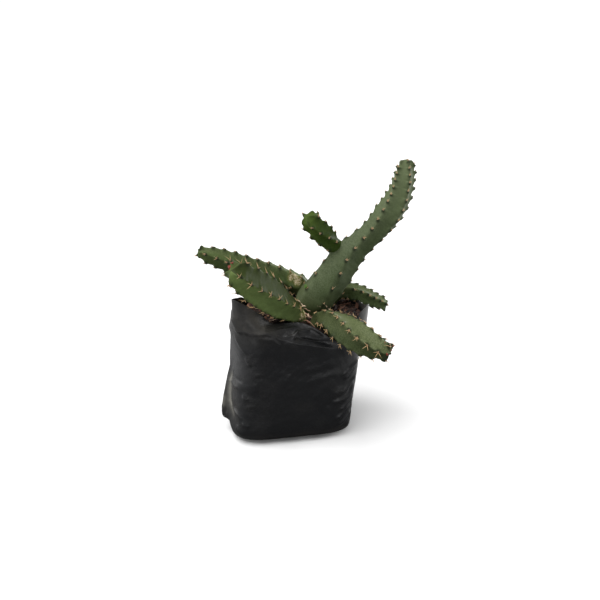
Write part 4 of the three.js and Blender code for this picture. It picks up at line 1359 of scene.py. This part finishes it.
def scatter_bark(edge):
    """Chips and crumbs over the soil, and the large chips on the right."""
    random = np.random.default_rng(61)
    shape = Shape()
    for count, lengths, widths, heights, room, rows, around in CHIP_KINDS:
        for _ in range(count):
            spot, share = random_spot(random, edge, BARK_REACH)
            size = (random.uniform(*lengths), random.uniform(*widths), random.uniform(*heights))
            tone = float(np.clip(random.normal(*CHIP_TONE), 0, 1))
            heading, tilt = random.uniform(0, TURN), random.normal(0, CHIP_TILT)
            if share > NEAR_EDGE:
                size = (size[0] * EDGE_LENGTH,) + size[1:]
            if lies_free(spot, size[0], room):
                spot = spot + [0, 0, random.uniform(*CHIP_LIFT)]
                add_slab(shape, random, spot, heading, tilt, size, tone, rows, around)
    for x, y, heading, tilt, length, width, tone in OPEN_CHIPS:
        nearest = np.linalg.norm(edge[:, :2] - [x, y], axis=1).argmin()
        share = math.hypot(x - MIDDLE_X, y) / math.hypot(edge[nearest, 0] - MIDDLE_X, edge[nearest, 1])
        level = soil_top(min(share, 1), edge)[nearest, 2] + OPEN_CHIP_LIFT
        add_slab(shape, random, np.array([x, y, level]), math.radians(heading), math.radians(tilt),
                 (length, width, OPEN_CHIP_HEIGHT), tone, rows=9, around=12)
    shape.build("bark_chips", BARK_FINISH, "bark_chip")


# Fibres and litter
STRAND_THICKNESS = 0.4
STRAND_ENDS = 0.25  # how blunt a strand's ends are
NEARLY_UP = np.array([0.1, 0.05, 1.0])
FIBRES = 44
FIBRE_REACH = 0.85
FIBRE_STEPS = 9
FIBRE_LENGTH = (6, 15)
FIBRE_WIDTH = (0.35, 0.7)
FIBRE_RISE = (0.3, 2.0)
FIBRE_TONE = (0.3, 0.95)
FIBRE_LIFT = 0.8
FIBRE_ROOM = 1.0
FIBRE_WANDERS = 0.35


def add_strand(shape, points, width, tone, sides):
    """A flat strand along a line of points, blunt at its ends."""
    aim = unit(np.gradient(points, axis=0))
    side = unit(np.cross(aim, NEARLY_UP))
    up = np.cross(side, aim)
    ease = np.sin(np.linspace(STRAND_ENDS, math.pi - STRAND_ENDS, len(points)))[:, None, None] ** 0.5
    rings = ease * ellipses(all_round(sides), width / 2 * side, STRAND_THICKNESS / 2 * up)
    shape.add_tube(points[:, None] + rings, points[0], points[-1], tone=tone)


def wander(random, start, heading, length, rise):
    """A line that wanders over the soil from a start, up and down again."""
    points = [np.array(start, float)]
    step_length, last = length / FIBRE_STEPS, FIBRE_STEPS - 1
    for step in range(last):
        heading += random.normal(0, FIBRE_WANDERS)
        lift = rise * math.cos(math.pi * (step + 0.5) / last) / last * 2
        step_by = [math.cos(heading) * step_length, math.sin(heading) * step_length, lift]
        points.append(points[-1] + step_by)
    return np.array(points)


def scatter_fibres(edge):
    """Coir fibres over the soil."""
    random = np.random.default_rng(67)
    shape = Shape()
    for _ in range(FIBRES):
        spot = random_spot(random, edge, FIBRE_REACH)[0] + [0, 0, FIBRE_LIFT]
        heading, length = random.uniform(0, TURN), random.uniform(*FIBRE_LENGTH)
        tone = random.uniform(*FIBRE_TONE)
        if lies_free(spot, length, FIBRE_ROOM):
            line = wander(random, spot, heading, length, random.uniform(*FIBRE_RISE))
            add_strand(shape, line, random.uniform(*FIBRE_WIDTH), tone, sides=6)
    shape.build("coir_fibres", LITTER_FINISH, "litter")


# Dry litter between the feet of the stems: points along each bit, its width and its tone
LITTER = [
    ([(8.6, -15, 116.2), (10.6, -16.4, 116.2), (12.2, -16.8, 114.6), (14.6, -17, 114)], 1.5, 0.35),
    ([(7.4, -18.6, 113), (8.8, -20, 114.2), (10.8, -21, 112.8), (11.4, -22.6, 110.6)], 1.7, 0.25),
    ([(8.6, -21.4, 110.6), (11.2, -23, 112.2), (14, -24.4, 110.8)], 1.3, 0.55),
    ([(12.4, -19, 112.6), (11.4, -20.6, 112.8), (12, -22.6, 111.4)], 1.1, 0.85),
    ([(5.5, -9, 118.4), (7.9, -10, 117.8), (9.6, -12, 115.6)], 2.4, 0.9),
    ([(6.6, -14, 117.2), (8.8, -14.6, 118.2), (11, -14.2, 117.6)], 1.8, 1.0),
    ([(3.5, -8, 120.8), (5.6, -8.6, 120.6), (7.4, -9.4, 119)], 1.5, 0.8),
    ([(8.4, -27, 111.2), (11.4, -30, 109.8), (15, -34, 106.8)], 0.8, 0.2),
    ([(9.6, -17, 112.8), (12.5, -19.5, 111.8), (16, -21, 109.4)], 1.2, 0.1),
    ([(6.5, -24, 109.6), (9.6, -25.4, 109.4), (12.6, -28.4, 107.8)], 1.3, 0.15),
    ([(20.2, -14.2, 117.2), (22, -14.8, 117.2), (23.8, -15.2, 116.2)], 1.3, 0.95),
    ([(27.4, -13.4, 116.6), (28.2, -14, 116.2), (28.8, -14.4, 115.4)], 1.0, 0.9),
    ([(30.2, -14.4, 113.8), (31.2, -15.4, 113.2), (32.2, -16.4, 111.8)], 0.9, 1.0),
    ([(32.2, -17.2, 111.8), (33, -17.6, 110.8), (33.8, -18.2, 109.6)], 1.0, 1.0),
]
LITTER_STEPS = 11
LITTER_UNEVEN = 0.12


def build_litter():
    random = np.random.default_rng(71)
    shape = Shape()
    for points, width, tone in LITTER:
        line = smooth_line(points, LITTER_STEPS)
        line = line + random.normal(0, LITTER_UNEVEN, line.shape)
        add_strand(shape, line, width, tone, sides=8)
    shape.build("dry_litter", LITTER_FINISH, "litter")


# Fresh growth: stem, distance along it, angle round it in degrees, size and how many lobes
RED_GROWTH = [
    ("front_right_stem", 90.4, 268, 0.8, 3), ("front_right_stem", 89.4, 25, 1.0, 5),
    ("front_right_stem", 88.9, 247, 0.6, 2), ("front_right_stem", 85, 315, 0.6, 2),
    ("front_left_stem", 102.2, 152, 1.3, 6), ("front_left_stem", 101.2, 128, 1.0, 4),
    ("front_left_stem", 101.4, 172, 0.8, 3),
]
GREEN_BUDS = [("main_stem", 30.4, 315, 1.5, 6)]
# Lobes: how unevenly they are spaced, how they lean, and their sizes as shares of a cluster's
LOBE_SPACING = (-0.5, 0.5)
LOBE_LEAN = 0.5
LOBE_SPREAD = (0.2, 0.8)
LOBE_LENGTH = (0.8, 1.3)
LOBE_WIDTH = (0.35, 0.6)
LOBE_FLATNESS = 0.7
LOBE_ASIDE = 0.45
LOBE_RAISED = 0.35


def add_cluster(shape, random, stem, distance, bearing, size, lobes):
    """Young leaves as small egg-shaped lobes round one spot of a stem."""
    spot = stem_surface(stem, np.array([float(distance)]), np.array([math.radians(bearing)]))
    root, out, along = spot["point"][0], spot["out"][0], spot["along"][0]
    side = np.cross(along, out)
    for lobe in range(lobes):
        turn = TURN * lobe / lobes + random.uniform(*LOBE_SPACING)
        flat = math.cos(turn) * side + math.sin(turn) * along
        up = unit(out + LOBE_LEAN * along + random.uniform(*LOBE_SPREAD) * flat)
        across = unit(np.cross(up, flat))
        long, wide = size * random.uniform(*LOBE_LENGTH), size * random.uniform(*LOBE_WIDTH)
        axes = (across * wide, np.cross(up, across) * wide * LOBE_FLATNESS, up * long)
        middle = root + flat * size * LOBE_ASIDE + up * long * LOBE_RAISED
        add_blob(shape, middle, axes, rows=8, around=12)


def build_growth():
    """The red growth, then the green bud."""
    random = np.random.default_rng(73)
    growths = {"red_growth": (RED_GROWTH, RED_FINISH), "green_bud": (GREEN_BUDS, BUD_FINISH)}
    for name, (places, finish) in growths.items():
        shape = Shape()
        for stem_name, *place in places:
            add_cluster(shape, random, STEMS[stem_name], *place)
        shape.build(name, finish, "new_growth")


# Floor and light, in metres
FLOOR_HALF = 25.0
FLOOR_ROUGHNESS = 0.9
# The floor's brightness to the camera, and to the object from below it and from beside it
FLOOR_SHADE = 0.88
FLOOR_BOUNCE = 0.12
SIDE_BOUNCE = 0.5
SIDE_STARTS = 0.06  # how far to the side the floor begins to count as beside, and where it does fully
SIDE_FULL = 0.2
WORLD_LIGHT = 0.3
LIGHT_REACH = 1.1  # of the lamps from the point that they face
LIGHT_CENTRE = Vector((0, 0, 0.1))
# Lights: bearing from the front and height in degrees, kind, power, and angle or size
LIGHTS = [
    ("key_light", -68, 70, "SUN", 3.2, 52),
    ("left_softbox", -100, 12, "AREA", 5.2, 0.8),
    ("right_softbox", 98, 8, "AREA", 8.6, 0.6),
    ("rear_softbox", 138, 4, "AREA", 3.4, 0.5),
    ("front_softbox", -6, 12, "AREA", 1.8, 0.6),
]


def grey(value):
    return (value, value, value, 1.0)


def build_floor():
    """A pale floor, plain white to the camera, that lights the object from its sides."""
    corners = [(x * FLOOR_HALF, y * FLOOR_HALF, 0) for x, y in ((-1, -1), (1, -1), (1, 1), (-1, 1))]
    mesh = bpy.data.meshes.new("floor")
    mesh.from_pydata(corners, [], [(0, 1, 2, 3)])
    floor = bpy.data.objects.new("floor", mesh)
    bpy.context.scene.collection.objects.link(floor)
    material = bpy.data.materials.new("pale_floor")
    material.use_nodes = True
    paint = Paint(material.node_tree)
    surface = material.node_tree.nodes["Principled BSDF"]
    seen = paint.add("ShaderNodeLightPath").outputs["Is Camera Ray"]
    spread = paint.add("ShaderNodeSeparateXYZ")
    paint.put(spread.inputs[0], paint.place())
    beside = paint.step(paint.math("ABSOLUTE", spread.outputs["X"]), SIDE_STARTS, SIDE_FULL)
    bounce = paint.mix(beside, grey(FLOOR_BOUNCE), grey(SIDE_BOUNCE))
    paint.put(surface.inputs["Base Color"], paint.mix(seen, bounce, grey(FLOOR_SHADE)))
    surface.inputs["Roughness"].default_value = FLOOR_ROUGHNESS
    mesh.materials.append(material)


def build_lights():
    """A soft studio: an even white surround, one wide sun and four softboxes."""
    scene = bpy.context.scene
    scene.world = scene.world or bpy.data.worlds.new("studio")
    scene.world.use_nodes = True
    backdrop = scene.world.node_tree.nodes["Background"]
    backdrop.inputs["Color"].default_value = grey(1)
    backdrop.inputs["Strength"].default_value = WORLD_LIGHT
    for name, bearing, height, kind, power, size in LIGHTS:
        light = bpy.data.lights.new(name, kind)
        light.energy = power
        if kind == "SUN":
            light.angle = math.radians(size)
        else:
            light.size = size
        lamp = bpy.data.objects.new(name, light)
        turn, climb = math.radians(bearing), math.radians(height)
        level = math.cos(climb)
        towards = Vector((math.sin(turn) * level, -math.cos(turn) * level, math.sin(climb)))
        lamp.location = towards * LIGHT_REACH + LIGHT_CENTRE
        lamp.rotation_euler = (-towards).to_track_quat("-Z", "Y").to_euler()
        scene.collection.objects.link(lamp)


def place_camera():
    camera = bpy.data.cameras.new("camera")
    camera.lens = CAMERA_LENS
    camera.sensor_width = CAMERA_SENSOR
    camera.clip_start = CAMERA_NEAREST
    view = bpy.data.objects.new("camera", camera)
    view.location = Vector(CAMERA_AT) * MM
    aim = Vector(CAMERA_TARGET) * MM - view.location
    view.rotation_euler = aim.to_track_quat("-Z", "Y").to_euler()
    bpy.context.scene.collection.objects.link(view)
    bpy.context.scene.camera = view


# Making everything
place_camera()
build_floor()
build_lights()
bpy.context.scene.view_settings.view_transform = "Standard"
for each in STEMS.values():
    prepare(each)
for each_name, each in STEMS.items():
    build_stem(each_name, each)
    build_spines(each_name, each)
soil_rim = build_soil(build_bag())
scatter_bark(soil_rim)
scatter_fibres(soil_rim)
build_litter()
build_growth()
